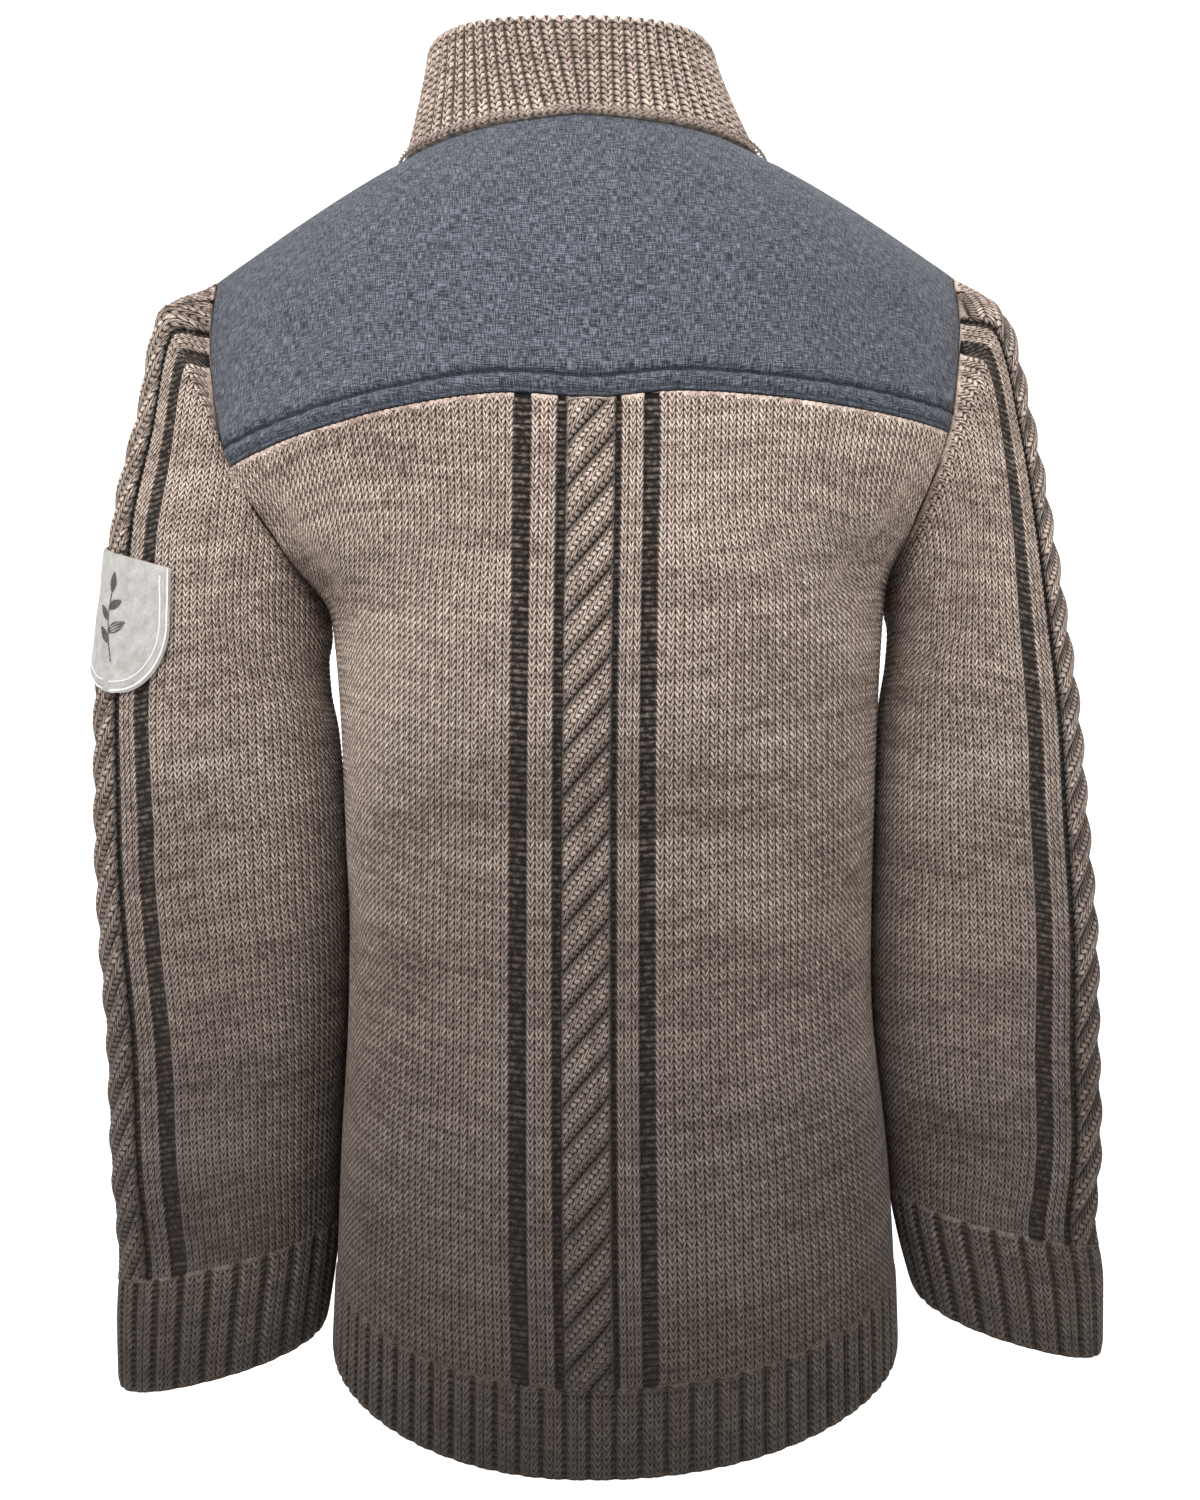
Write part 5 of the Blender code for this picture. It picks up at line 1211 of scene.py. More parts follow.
def patch_half(y):
    fall = max(0.0, 1.0 - y / PATCH_HEIGHT / PATCH_ROUND_SHARE)
    left_over = max(1.0 - fall ** PATCH_CORNER_FULLNESS, PATCH_POINT_SHARE)
    return PATCH_WIDTH / 2 * left_over ** (1 / PATCH_CORNER_FULLNESS)


PATCH_GRID_ROWS = 41
PATCH_GRID_COLUMNS = 37
PATCH_SWELL = 0.0003
PATCH_EDGE_DROP = 0.0006
PATCH_EDGE_RUN = 0.0016


def make_patch(sheet, material):
    """A thick felt patch with a straight top and a round foot, bent over the sleeve and its cable."""
    cloth = Cloth()
    ups = PATCH_HEIGHT * (1.0 - np.cos(np.linspace(0.0, math.pi, PATCH_GRID_ROWS))) / 2
    sides = {}
    for label, offset in (("outer", PATCH_WALL), ("inner", 0.0)):
        grid = np.zeros((PATCH_GRID_ROWS, PATCH_GRID_COLUMNS, 3))
        maps = np.zeros((PATCH_GRID_ROWS, PATCH_GRID_COLUMNS, 2))
        for r, y in enumerate(ups):
            half = patch_half(y)
            for c, x in enumerate(np.linspace(-half, half, PATCH_GRID_COLUMNS)):
                edge = min(half - abs(x), y, PATCH_HEIGHT - y)
                relief = 0.0
                if label == "outer":
                    relief = PATCH_SWELL * math.sin(x * 260.0) * math.sin(y * 190.0 + 1.0)
                    relief -= PATCH_EDGE_DROP * (1.0 - smooth_step(edge / PATCH_EDGE_RUN))
                grid[r, c] = patch_place(sheet, x, y, offset + relief)[0]
                maps[r, c] = (x * 1000.0, y * 1000.0)
        sides[label] = cloth.sheet(grid, maps[..., 0], maps[..., 1], inside=label == "inner")
    outer, inner = sides["outer"], sides["inner"]
    cloth.strip(list(outer[0]), list(inner[0]))
    cloth.strip(list(inner[-1]), list(outer[-1]))
    cloth.strip(list(inner[:, 0]), list(outer[:, 0]))
    cloth.strip(list(outer[:, -1]), list(inner[:, -1]))
    return cloth.make("patch_felt", material)


def patch_outline(inset):
    """A closed line inside the patch's edge."""
    ups = np.linspace(0.0, PATCH_HEIGHT, 60)
    right = [(patch_half(y), y) for y in ups]
    outline = right + [(-x, y) for x, y in right[::-1]]
    outline.append(outline[0])
    middle = PATCH_HEIGHT / 2
    return [(x * (1.0 - 2 * inset / PATCH_WIDTH), middle + (y - middle) * (1.0 - 2 * inset / PATCH_HEIGHT))
            for x, y in outline]


def patch_path(sheet, places, offset):
    found = [patch_place(sheet, x, y, PATCH_WALL + offset) for x, y in places]
    return np.array([point for point, _ in found]), np.array([out for _, out in found])


# A plain sprig: places along its stem, and its leaves as shares of the way up the stem, sides and lengths
SPRIG_STEM = ((0.004, 0.018), (0.001, 0.030), (-0.001, 0.042), (0.001, 0.056))
SPRIG_STEM_STITCHES = 15
SPRIG_LEAF_ROWS = 9
SPRIG_LEAF_WIDTH = 0.26
SPRIG_AHEAD = 0.001
SPRIG_LEAVES = ((0.25, -1, 0.011), (0.40, 1, 0.012), (0.58, -1, 0.010), (0.74, 1, 0.009), (1.0, 0, 0.010))


def sprig_stitches(sheet):
    """Satin stitches that fill each leaf, and the stem below them."""
    stem = np.array(SPRIG_STEM)
    runs = run_lengths(np.column_stack([stem, np.zeros(len(stem))]))
    places, alongs = [], []
    for part in np.linspace(0.0, 1.0, SPRIG_STEM_STITCHES):
        place = np.array([np.interp(part * runs[-1], runs, stem[:, k]) for k in range(2)])
        places.append(place)
        alongs.append(np.array([-0.1, 1.0]))
    for part, side, length in SPRIG_LEAVES:
        foot = np.array([np.interp(part * runs[-1], runs, stem[:, k]) for k in range(2)])
        way = np.array([side * 0.82, 0.58]) if side else np.array([0.1, 1.0])
        way = way / np.hypot(*way)
        aside = np.array([-way[1], way[0]])
        for step in np.linspace(0.12, 0.95, SPRIG_LEAF_ROWS):
            half = SPRIG_LEAF_WIDTH * math.sin(math.pi * step ** 0.8)
            for edge in (-0.75, -0.25, 0.25, 0.75):
                places.append(foot + way * step * length + aside * edge * half * length)
                alongs.append(way + aside * edge * 0.5)
    points, directions, outs = [], [], []
    for place, way in zip(places, alongs):
        point, out = patch_place(sheet, place[0], place[1], PATCH_WALL + PATCH_STITCH_LIFT)
        tip, _ = patch_place(sheet, place[0] + way[0] * SPRIG_AHEAD, place[1] + way[1] * SPRIG_AHEAD,
                             PATCH_WALL + PATCH_STITCH_LIFT)
        points.append(point)
        directions.append(tip - point)
        outs.append(out)
    return np.array(points), unit(np.array(directions)), np.array(outs)


# Half a section of a button, from the middle of its face to the middle of its back, as shares of its radius
# and thickness, and its four holes: their radius, and their distance from both middle lines
BUTTON_PROFILE = ((0.0, 0.60), (0.50, 0.60), (0.60, 0.64), (0.70, 0.90), (0.78, 1.0), (0.87, 1.0),
                  (0.95, 0.92), (1.0, 0.72), (1.0, 0.45), (0.96, 0.15), (0.90, 0.0), (0.0, 0.0))
BUTTON_SIDES = 48
BUTTON_FACE_SHARE = 0.62
HOLE_RADIUS = 0.0011
HOLE_PLACE = 0.0023
HOLE_SIDES = 16


def button_places(front):
    line = share_line(front, 0.5)
    top = neck_top(line, NECK_FRONT)
    rest = OVER_BAND_OFFSET + RIB_HEIGHT + SEAM_GAP
    places = []
    for up in np.linspace(FIRST_BUTTON_UP, top - LAST_BUTTON_DOWN, BUTTON_COUNT):
        points, normals = pick(line, np.array([up]))
        normal = Vector(normals[0])
        places.append((Vector(points[0]) + normal * rest, normal))
    return places


def make_button(name, place, normal, material):
    """A turned button with a rounded rim, a sunk middle and four holes drilled through."""
    mesh = bpy.data.meshes.new(name)
    form = bmesh.new()
    profile = [form.verts.new((BUTTON_RADIUS * radius, 0.0, BUTTON_THICKNESS * height))
               for radius, height in BUTTON_PROFILE]
    edges = [form.edges.new((a, b)) for a, b in zip(profile, profile[1:])]
    bmesh.ops.spin(form, geom=profile + edges, cent=(0, 0, 0), axis=(0, 0, 1), angle=2 * math.pi,
                   steps=BUTTON_SIDES, use_merge=True)
    bmesh.ops.remove_doubles(form, verts=form.verts, dist=0.00002)
    bmesh.ops.recalc_face_normals(form, faces=form.faces)
    form.to_mesh(mesh)
    form.free()
    mesh.materials.append(material)
    button = place_object(name, mesh)
    drill_mesh = bpy.data.meshes.new("drill")
    drill_form = bmesh.new()
    for x in (-HOLE_PLACE, HOLE_PLACE):
        for y in (-HOLE_PLACE, HOLE_PLACE):
            made = bmesh.ops.create_cone(drill_form, cap_ends=True, segments=HOLE_SIDES,
                                         radius1=HOLE_RADIUS, radius2=HOLE_RADIUS, depth=BUTTON_THICKNESS * 3)
            bmesh.ops.translate(drill_form, verts=made["verts"], vec=(x, y, 0.0))
    drill_form.to_mesh(drill_mesh)
    drill_form.free()
    drill = place_object("drill", drill_mesh)
    cut = button.modifiers.new("holes", "BOOLEAN")
    cut.operation = "DIFFERENCE"
    cut.solver = "EXACT"
    cut.object = drill
    bpy.context.view_layer.update()
    turned = bpy.data.meshes.new_from_object(button.evaluated_get(bpy.context.evaluated_depsgraph_get()))
    button.modifiers.remove(cut)
    bpy.data.objects.remove(drill)
    turn = normal.to_track_quat("Z", "Y").to_matrix().to_4x4()
    turn.translation = place
    turned.transform(turn)
    turned.shade_smooth()
    turned.set_sharp_from_angle(angle=math.radians(40))
    button.data = turned
    button.data.name = name
    return button


def rgb(hex_colour):
    return tuple(int(hex_colour[i:i + 2], 16) / 255 for i in (1, 3, 5))


def linear(hex_colour):
    """A colour written as sRGB hex, in linear values."""
    return tuple(v / 12.92 if v <= 0.04045 else ((v + 0.055) / 1.055) ** 2.4
                 for v in rgb(hex_colour)) + (1.0,)


def add_node(tree, kind, inputs=None, **settings):
    """A node with its settings, its values and its links."""
    made = tree.nodes.new(kind)
    for key, value in settings.items():
        setattr(made, key, value)
    for key, value in (inputs or {}).items():
        if isinstance(value, bpy.types.NodeSocket):
            tree.links.new(value, made.inputs[key])
        else:
            made.inputs[key].default_value = value
    return made


class Look:
    """A new material, with short ways to add its nodes."""

    def __init__(self, name, **surface):
        self.material = bpy.data.materials.new(name)
        self.material.use_nodes = True
        self.tree = self.material.node_tree
        self.shader = self.tree.nodes["Principled BSDF"]
        for label, value in surface.items():
            self.shader.inputs[label.replace("_", " ")].default_value = value

    def node(self, kind, inputs=None, output=0, **settings):
        """One output of a new shader node."""
        return add_node(self.tree, "ShaderNode" + kind, inputs, **settings).outputs[output]

    def maths(self, operation, *values, clamp=False):
        return self.node("Math", dict(enumerate(values)), operation=operation, use_clamp=clamp)

    def add(self, first, second, clamp=False):
        return self.maths("ADD", first, second, clamp=clamp)

    def times(self, first, second):
        return self.maths("MULTIPLY", first, second)

    def swing(self, value, strength):
        """A pattern's distance from its middle tone, made stronger or weaker."""
        return self.times(self.maths("SUBTRACT", value, 0.5), strength)

    def place(self):
        return self.node("TexCoord", output="Object")

    def painted(self, label):
        """A value that is painted on the mesh's points."""
        return self.node("Attribute", output="Fac", attribute_name=label)

    def noise(self, vector, scale, detail, **more):
        return self.node("TexNoise", {"Vector": vector, "Scale": scale, "Detail": detail, **more})

    def stretched(self, vector, scale):
        return self.node("Mapping", {"Vector": vector, "Scale": scale})

    def ranged(self, value, **ends):
        """A value moved from one range into another."""
        given = {label.replace("_", " "): end for label, end in ends.items()}
        return self.node("MapRange", {"Value": value, **given})

    def mix(self, factor, first, second):
        return self.node("Mix", {0: factor, 2: first, 3: second})

    def blend(self, factor, first, second, kind="MIX"):
        return self.node("Mix", {0: factor, 6: first, 7: second}, 2, data_type="RGBA", blend_type=kind)

    def dimmed(self, colour, share):
        """A colour times a grey share."""
        grey = self.node("CombineColor", {0: share, 1: share, 2: share})
        return self.blend(1.0, colour, grey, "MULTIPLY")

    def ramp(self, value, low, high, middle=None):
        """Tones along a value: low and high are a place and a colour each, middle is the colour halfway."""
        made = add_node(self.tree, "ShaderNodeValToRGB", {0: value})
        for element, (place, colour) in zip(made.color_ramp.elements, (low, high)):
            element.position = place
            element.color = linear(colour)
        if middle:
            made.color_ramp.elements.new(0.5).color = linear(middle)
        return made.outputs[0]

    def finish(self, colour, relief=None, strength=1.0, distance=0.001):
        """Link the colour, and the relief as bump."""
        self.tree.links.new(colour, self.shader.inputs["Base Color"])
        if relief:
            bump = self.node("Bump", {"Strength": strength, "Distance": distance, "Height": relief})
            self.tree.links.new(bump, self.shader.inputs["Normal"])
        return self.material


# Yarn: how steeply a stitch's legs rise, and where a leg's middle and edges lie, as shares of a stitch
LEG_RISE = 2.25
LEG_MIDDLE = 0.225
LEG_HALF_WIDTH = 0.285
LEG_HALF_LENGTH = 0.47
YARN_BUMP = 0.0013
# Painted shade that darkens the knit towards the hem: the heights where it starts and ends, and its tone there
HEM_SHADE = {"From_Min": -0.75, "From_Max": -0.20, "To_Min": 0.07, "To_Max": 1.0}
HEM_SHADE_CURVE = 1.3
# Painted shade and light over a stitch: from the hole between its legs, painted near-black, to their crests,
# painted lighter than the yarn
STITCH_SHADE = {"From_Min": 0.0, "From_Max": 0.85, "To_Min": 0.09, "To_Max": 1.42}


def yarn_material(name, light, middle, deep, gutter_shade_colour, tone_spread):
    """Brushed heather wool, knitted: matt, a little fuzzy at its edges, each stitch two rounded legs with a
    near-black hole between them in painted shade and crests in painted highlight, tones that run along the
    courses as an uneven dyed yarn does, and painted shade in gutters, cable creases and towards the hem."""
    look = Look(name, Roughness=0.93, Specular_IOR_Level=0.18, Sheen_Weight=0.22, Sheen_Roughness=0.55,
                Sheen_Tint=linear("#c9b8aa"))
    maths, add, times, swing = look.maths, look.add, look.times, look.swing
    stitches = look.node("UVMap", uv_map="stitches")
    u, v = (look.node("SeparateXYZ", {0: stitches}, axis) for axis in (0, 1))
    purl, dark, place = look.painted("purl"), look.painted("dark"), look.place()
    wobbly = swing(look.noise(place, 420.0, 1.0), 0.35)

    def oval(value, middle_at, half):
        distance = maths("ABSOLUTE", maths("SUBTRACT", value, middle_at))
        return maths("POWER", times(distance, 1.0 / half), 2.0)

    aside = maths("ABSOLUTE", maths("SUBTRACT", maths("FRACT", u), 0.5))
    phase = maths("FRACT", add(maths("SUBTRACT", v, times(aside, LEG_RISE)), wobbly))
    leg = add(oval(aside, LEG_MIDDLE, LEG_HALF_WIDTH), oval(phase, 0.5, LEG_HALF_LENGTH))
    knit = maths("SQRT", maths("SUBTRACT", 1.0, leg, clamp=True))

    course = maths("FRACT", add(v, wobbly))
    rung = maths("POWER", maths("ABSOLUTE", swing(course, 2.4)), 2.0)
    ladder = maths("POWER", maths("SUBTRACT", 1.0, rung, clamp=True), 0.7)
    lit = look.ranged(look.noise(place, 330.0, 2.0), From_Min=0.38, From_Max=0.66)
    relief = look.mix(purl, knit, times(ladder, add(0.25, times(lit, 0.75))))

    row = look.node("CombineXYZ", {0: times(u, 0.06), 1: times(v, 0.55)})
    streak = look.noise(row, 1.0, 2.0, Roughness=0.6)
    band = look.noise(look.stretched(place, (5.0, 5.0, 26.0)), 1.0, 3.0, Distortion=0.4)
    fibre = look.noise(place, 1300.0, 2.0, Roughness=0.7)
    tone = add(swing(streak, 0.95 * tone_spread), swing(band, 0.9 * tone_spread))
    tone = add(tone, swing(fibre, 2.2))
    tone = add(add(tone, swing(look.noise(place, 240.0, 1.0), 1.1)), 0.5, clamp=True)
    dyed = look.ramp(tone, (0.0, deep), (1.0, light), middle)
    # Painted shade: the knit darkens towards the hem with the object's height
    foot = look.ranged(look.node("SeparateXYZ", {0: place}, 2), **HEM_SHADE)
    hem_shaded = look.dimmed(dyed, maths("POWER", foot, HEM_SHADE_CURVE))
    # Painted shade in the gutters and the cable's creases: near-black ladders with the loops painted paler
    # where they stand up, and the whole tone dimmed by up to half
    loops = times(maths("POWER", relief, 1.6), 0.5)
    base = look.blend(dark, hem_shaded, look.blend(loops, linear(gutter_shade_colour), hem_shaded))
    # Painted shade and painted highlight from the stitch relief, dimmed by the painted shade of gutters and
    # creases
    shade = look.ranged(relief, **STITCH_SHADE)
    shaded = look.dimmed(base, times(shade, maths("SUBTRACT", 1.0, times(dark, 0.5))))
    twist = look.node("TexWave", {"Vector": stitches, "Scale": 1.6, "Distortion": 2.0, "Detail": 1.0}, 1,
                      bands_direction="DIAGONAL")
    thickness = add(relief, add(times(twist, 0.10), times(fibre, 0.22)))
    return look.finish(shaded, thickness, 1.0, YARN_BUMP)


# Yoke cloth: threads drawn a little coarser than the real 0.4 mm, so that they show, and slubs 6 mm long
THREAD_MM = 0.55
SLUB_MM = 6.0


def woven_material(name, light, middle, deep, groove_shade):
    """Wool-look melange cloth, plain woven from slubby blue-grey and pale threads: matt, with short light and
    deep-toned streaks that cross, a fine grainy surface, and painted shade in the grooves of its sewn band."""
    look = Look(name, Roughness=0.88, Specular_IOR_Level=0.25, Sheen_Weight=0.12, Sheen_Roughness=0.5)
    maths, add, times, swing = look.maths, look.add, look.times, look.swing
    metric = look.node("UVMap", uv_map="stitches")
    thin, long = 1.0 / THREAD_MM, 1.0 / SLUB_MM
    warp, weft = (look.noise(look.stretched(metric, scale), 1.0, 3.0, Roughness=0.65)
                  for scale in ((thin, long, 1.0), (long, thin, 1.0)))
    over, under = (maths("SINE", times(look.node("SeparateXYZ", {0: metric}, axis), math.pi / THREAD_MM))
                   for axis in (0, 1))
    weave = times(over, under)
    threads = look.mix(maths("GREATER_THAN", weave, 0.0), warp, weft)
    both = times(add(warp, weft), 0.5)
    tone = add(swing(threads, 2.3), swing(both, 2.8))
    tone = add(add(tone, swing(look.noise(metric, 0.05, 3.0), 0.2)), 0.5, clamp=True)
    dyed = look.ramp(tone, (0.12, deep), (0.9, light), middle)
    relief = add(times(maths("ABSOLUTE", weave), 0.5), times(threads, 0.6))
    # Painted shade in the sewn grooves and under the band: there the cloth turns to the colour of the shade
    return look.finish(look.blend(look.painted("dark"), dyed, linear(groove_shade)), relief, 0.8, 0.0003)


def felt_material(name, light, deep):
    """Pressed wool felt: matt pale grey with matted fibres that lie every way and a soft, dusty edge."""
    look = Look(name, Roughness=0.95, Specular_IOR_Level=0.15, Sheen_Weight=0.3)
    place = look.place()
    fibre = look.noise(place, 900.0, 5.0, Roughness=0.75, Distortion=1.5)
    mottle = look.noise(place, 160.0, 3.0)
    tone = look.add(look.times(fibre, 0.65), look.times(mottle, 0.4), clamp=True)
    return look.finish(look.ramp(tone, (0.3, deep), (0.7, light)), fibre, 0.9, 0.0005)


def lowered(colour, share):
    return tuple(value * share for value in colour[:3]) + (1.0,)


def thread_material(name, colour, roughness=0.6):
    """Spun sewing thread: two plies that show as fine slanting lines, with a slight silky gloss."""
    look = Look(name, Roughness=roughness)
    place = look.place()
    ply = look.node("TexWave", {"Vector": place, "Scale": 900.0, "Distortion": 1.0}, 1,
                    bands_direction="DIAGONAL")
    tone = look.add(look.times(ply, 0.35), look.times(look.noise(place, 700.0, 2.0), 0.65), clamp=True)
    base = linear(colour)
    return look.finish(look.blend(tone, lowered(base, 0.55), base), tone, 0.6, 0.0002)


def horn_material(name, light, deep):
    """Horn-look casein, turned and polished: dark brown with cloudy paler layers under a glossy surface."""
    look = Look(name, IOR=1.54)
    place = look.place()
    cloud = look.noise(look.stretched(place, (160.0, 160.0, 60.0)), 1.0, 5.0, Distortion=1.2)
    rough = look.ranged(look.noise(place, 2500.0, 2.0), To_Min=0.22, To_Max=0.42)
    look.tree.links.new(rough, look.shader.inputs["Roughness"])
    return look.finish(look.ramp(cloud, (0.35, deep), (0.75, light)))


def stage_material(name, colour):
    """Matt painted board, pale and even, with a faint grain so that it doesn't look cut out."""
    base = linear(colour)
    look = Look(name, Roughness=1.0, Specular_IOR_Level=0.0, Emission_Color=base, Emission_Strength=0.42)
    return look.finish(look.blend(look.noise(look.place(), 3.0, 2.0), lowered(base, 0.97), base))


def stitch_tree():
    """Geometry Nodes that set one rounded stitch on every point, along and away from the cloth."""
    tree = bpy.data.node_groups.new("rounded_stitches", "GeometryNodeTree")
    face = tree.interface
    face.new_socket("Geometry", in_out="INPUT", socket_type="NodeSocketGeometry")
    for label, default in (("Length", 0.003), ("Width", 0.0008), ("Thickness", 0.0008)):
        socket = face.new_socket(label, in_out="INPUT", socket_type="NodeSocketFloat")
        socket.default_value = default
        socket.min_value = 0.0
    face.new_socket("Thread", in_out="INPUT", socket_type="NodeSocketMaterial")
    face.new_socket("Geometry", in_out="OUTPUT", socket_type="NodeSocketGeometry")

    def node(kind, inputs, output=0, **settings):
        return add_node(tree, kind, inputs, **settings).outputs[output]

    given = add_node(tree, "NodeGroupInput").outputs
    stitch = node("GeometryNodeMeshIcoSphere", {"Radius": 0.5, "Subdivisions": 2})
    size = node("ShaderNodeCombineXYZ", {0: given["Length"], 1: given["Width"], 2: given["Thickness"]})
    shaped = node("GeometryNodeTransform", {"Geometry": stitch, "Scale": size})
    along, away = (node("GeometryNodeInputNamedAttribute", {"Name": label}, "Attribute",
                        data_type="FLOAT_VECTOR") for label in ("along", "away"))
    turn = node("FunctionNodeAxesToRotation", {0: along, 1: away}, primary_axis="X", secondary_axis="Z")
    placed = node("GeometryNodeInstanceOnPoints", {"Points": given["Geometry"], "Instance": shaped,
                                                   "Rotation": turn})
    real = node("GeometryNodeRealizeInstances", {0: placed})
    coloured = node("GeometryNodeSetMaterial", {"Geometry": real, "Material": given["Thread"]})
    add_node(tree, "NodeGroupOutput", {0: node("GeometryNodeSetShadeSmooth", {0: coloured})})
    return tree


Stitch = namedtuple("Stitch", "length width thickness")


def sew(name, seam, stitch, material):
    """One mesh of stitches. A seam is their places, the ways they run and the ways they stand out."""
    places, along, away = seam
    tree = bpy.data.node_groups.get("rounded_stitches") or stitch_tree()
    mesh = bpy.data.meshes.new(name + "_places")
    mesh.from_pydata([tuple(place) for place in places], [], [])
    for label, values in (("along", along), ("away", away)):
        attribute = mesh.attributes.new(label, "FLOAT_VECTOR", "POINT")
        attribute.data.foreach_set("vector", np.asarray(values, np.float32).reshape(-1))
    piece = place_object(name, mesh)
    nodes = piece.modifiers.new("stitches", "NODES")
    nodes.node_group = tree
    given = {"Length": stitch.length, "Width": stitch.width, "Thickness": stitch.thickness,
             "Thread": material}
    for item in tree.interface.items_tree:
        if item.in_out == "INPUT" and item.name in given:
            nodes[item.identifier] = given[item.name]
    bpy.context.view_layer.update()
    made = bpy.data.meshes.new_from_object(piece.evaluated_get(bpy.context.evaluated_depsgraph_get()))
    piece.modifiers.remove(nodes)
    piece.data = made
    made.name = name
    if len(made.polygons) == 0:
        raise RuntimeError(name + " came out without stitches")
    return piece


# Gaps, counts, shares and spacings that the pieces are built with, lengths in metres
RUN_GAP = 0.0007
RIB_JOIN = 0.0012
INNER_COLUMNS = 41
SLEEVE_INNER_COLUMNS = 28
INNER_STEPS = 36
FRONT_INNER_COLUMNS = 17
BAND_RIBS = 3
# Painted shade in the purl hollows between the front bands' ribs
BAND_GUTTER_SHADE = 0.6
YOKE_END_SHARE = 0.012
LINK_SPACING = 0.0043
STITCH_SPACING = 0.0032
PATCH_STITCH_SPACING = 0.0017
PATCH_STITCH_LIFT = 0.0002
STRAND_APART = 0.0008

# Sizes of the stitches. The panel sets the lengths of the topstitches and links.
TOPSTITCH = Stitch(0.0027, 0.00065, 0.0006)
LINK = Stitch(0.0050, 0.0015, 0.0015)
BUTTON_STRAND = Stitch(2 * HOLE_PLACE + 0.0012, 0.0008, 0.0011)
SPRIG_STITCH = Stitch(0.0030, 0.0008, 0.0006)
# The two rows round the patch: how far inside its edge, and their stitch
BORDER_ROWS = ((0.0015, Stitch(0.0023, 0.0013, 0.0008)), (0.0062, Stitch(0.0023, 0.0010, 0.0008)))

# Soft creases that the solids are too coarse for. Across is measured from the middle, up from the lower edge.
FINE_BACK_CREASES = (
    Fold(0.050, 0.645, 0.030, 0.700, 0.010, 0.0016),
    Fold(0.075, 0.660, 0.120, 0.700, 0.012, 0.0012),
    Fold(-0.020, 0.655, -0.060, 0.690, 0.012, -0.0010),
    Fold(-0.195, 0.605, -0.150, 0.585, 0.008, 0.0018),
    Fold(-0.190, 0.585, -0.160, 0.560, 0.007, -0.0012),
    Fold(0.200, 0.625, 0.155, 0.600, 0.008, 0.0018),
    Fold(0.190, 0.600, 0.160, 0.575, 0.007, -0.0012),
    Fold(-0.200, 0.490, -0.155, 0.400, 0.009, 0.0036),
    Fold(0.195, 0.470, 0.145, 0.445, 0.009, 0.0036),
    Fold(0.190, 0.505, 0.150, 0.490, 0.007, -0.0012),
    Fold(-0.120, 0.330, -0.060, 0.300, 0.020, 0.0010),
    Fold(0.070, 0.210, 0.140, 0.240, 0.020, 0.0012),
    Fold(-0.100, 0.060, -0.050, 0.085, 0.016, -0.0010),
)
FINE_FRONT_CREASES = (
    Fold(-0.220, 0.470, -0.170, 0.400, 0.009, 0.0022),
    Fold(0.220, 0.480, 0.175, 0.395, 0.009, 0.0020),
    Fold(-0.110, 0.330, -0.050, 0.300, 0.018, 0.0010),
    Fold(0.060, 0.190, 0.130, 0.225, 0.018, 0.0012),
    Fold(-0.170, 0.620, -0.120, 0.600, 0.012, 0.0012),
    Fold(0.160, 0.625, 0.115, 0.600, 0.012, 0.0012),
)
FINE_SLEEVE_CREASES = (
    Fold(0.165, 0.520, 0.100, 0.430, 0.012, 0.0026),
    Fold(0.175, 0.470, 0.115, 0.385, 0.012, 0.0022),
    Fold(0.130, 0.500, 0.085, 0.440, 0.009, -0.0016),
    Fold(-0.165, 0.510, -0.100, 0.420, 0.012, 0.0026),
    Fold(-0.175, 0.460, -0.115, 0.375, 0.012, 0.0022),
    Fold(-0.130, 0.490, -0.085, 0.430, 0.009, -0.0016),
    Fold(0.120, 0.300, 0.070, 0.318, 0.008, 0.0018),
    Fold(0.130, 0.180, 0.080, 0.165, 0.009, 0.0018),
    Fold(-0.120, 0.340, -0.070, 0.360, 0.009, 0.0018),
    Fold(-0.125, 0.185, -0.075, 0.170, 0.009, 0.0016),
    Fold(0.060, 0.095, 0.110, 0.085, 0.008, -0.0012),
    Fold(-0.060, 0.095, -0.110, 0.085, 0.008, -0.0012),
)


SIDES = (("left", -1), ("right", 1))


class Forms:
    """The smooth sheets that all pieces are read from, made once."""

    def __init__(self):
        self.back = body_sheet(BACK_RAILS, BACK_FOLDS + FINE_BACK_CREASES, False)
        self.front = body_sheet(front_rails(), FRONT_FOLDS + FINE_FRONT_CREASES, True)
        plain_back = body_sheet(BACK_RAILS, BACK_FOLDS, False)
        plain_front = body_sheet(front_rails(), FRONT_FOLDS, True)
        mirrored = tuple(fold._replace(across_1=-fold.across_1, across_2=-fold.across_2)
                         for fold in FINE_SLEEVE_CREASES)
        folds = {"left": SLEEVE_FOLDS_LEFT + FINE_SLEEVE_CREASES, "right": SLEEVE_FOLDS_RIGHT + mirrored}
        self.middles, self.sleeves = {}, {}
        for label, side in SIDES:
            armhole = armhole_line(plain_back, plain_front, side)
            self.middles[label] = armhole.mean(axis=0)
            rings = [Ring(*getattr(pair, label), pair.half_depth, pair.centre_y) for pair in RING_PAIRS]
            self.sleeves[label] = sleeve_sheet(rings, armhole, side, folds[label])
        self.seam_angles = np.linspace(0.0, 2 * math.pi, 73)
        self.seam_heights = neck_heights(plain_back, plain_front, self.seam_angles)


FORMS = Forms()


def dress(piece, nodes=()):
    """Attach a finished piece to the root, and hide the imported solids that it stands for."""
    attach(piece, "root")
    if nodes:
        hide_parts(*nodes)


def material_of(name, maker, *values):
    return bpy.data.materials.get(name) or maker(name, *values)


def hex_of(colour):
    """A property's colour, kept as sRGB, written as hex."""
    return "#%02x%02x%02x" % tuple(round(value * 255) for value in colour)


def colour_prop(name, description, hex_colour):
    return bpy.props.FloatVectorProperty(name=name, description=description, default=rgb(hex_colour), size=3,
                                         min=0.0, max=1.0, subtype="COLOR_GAMMA")


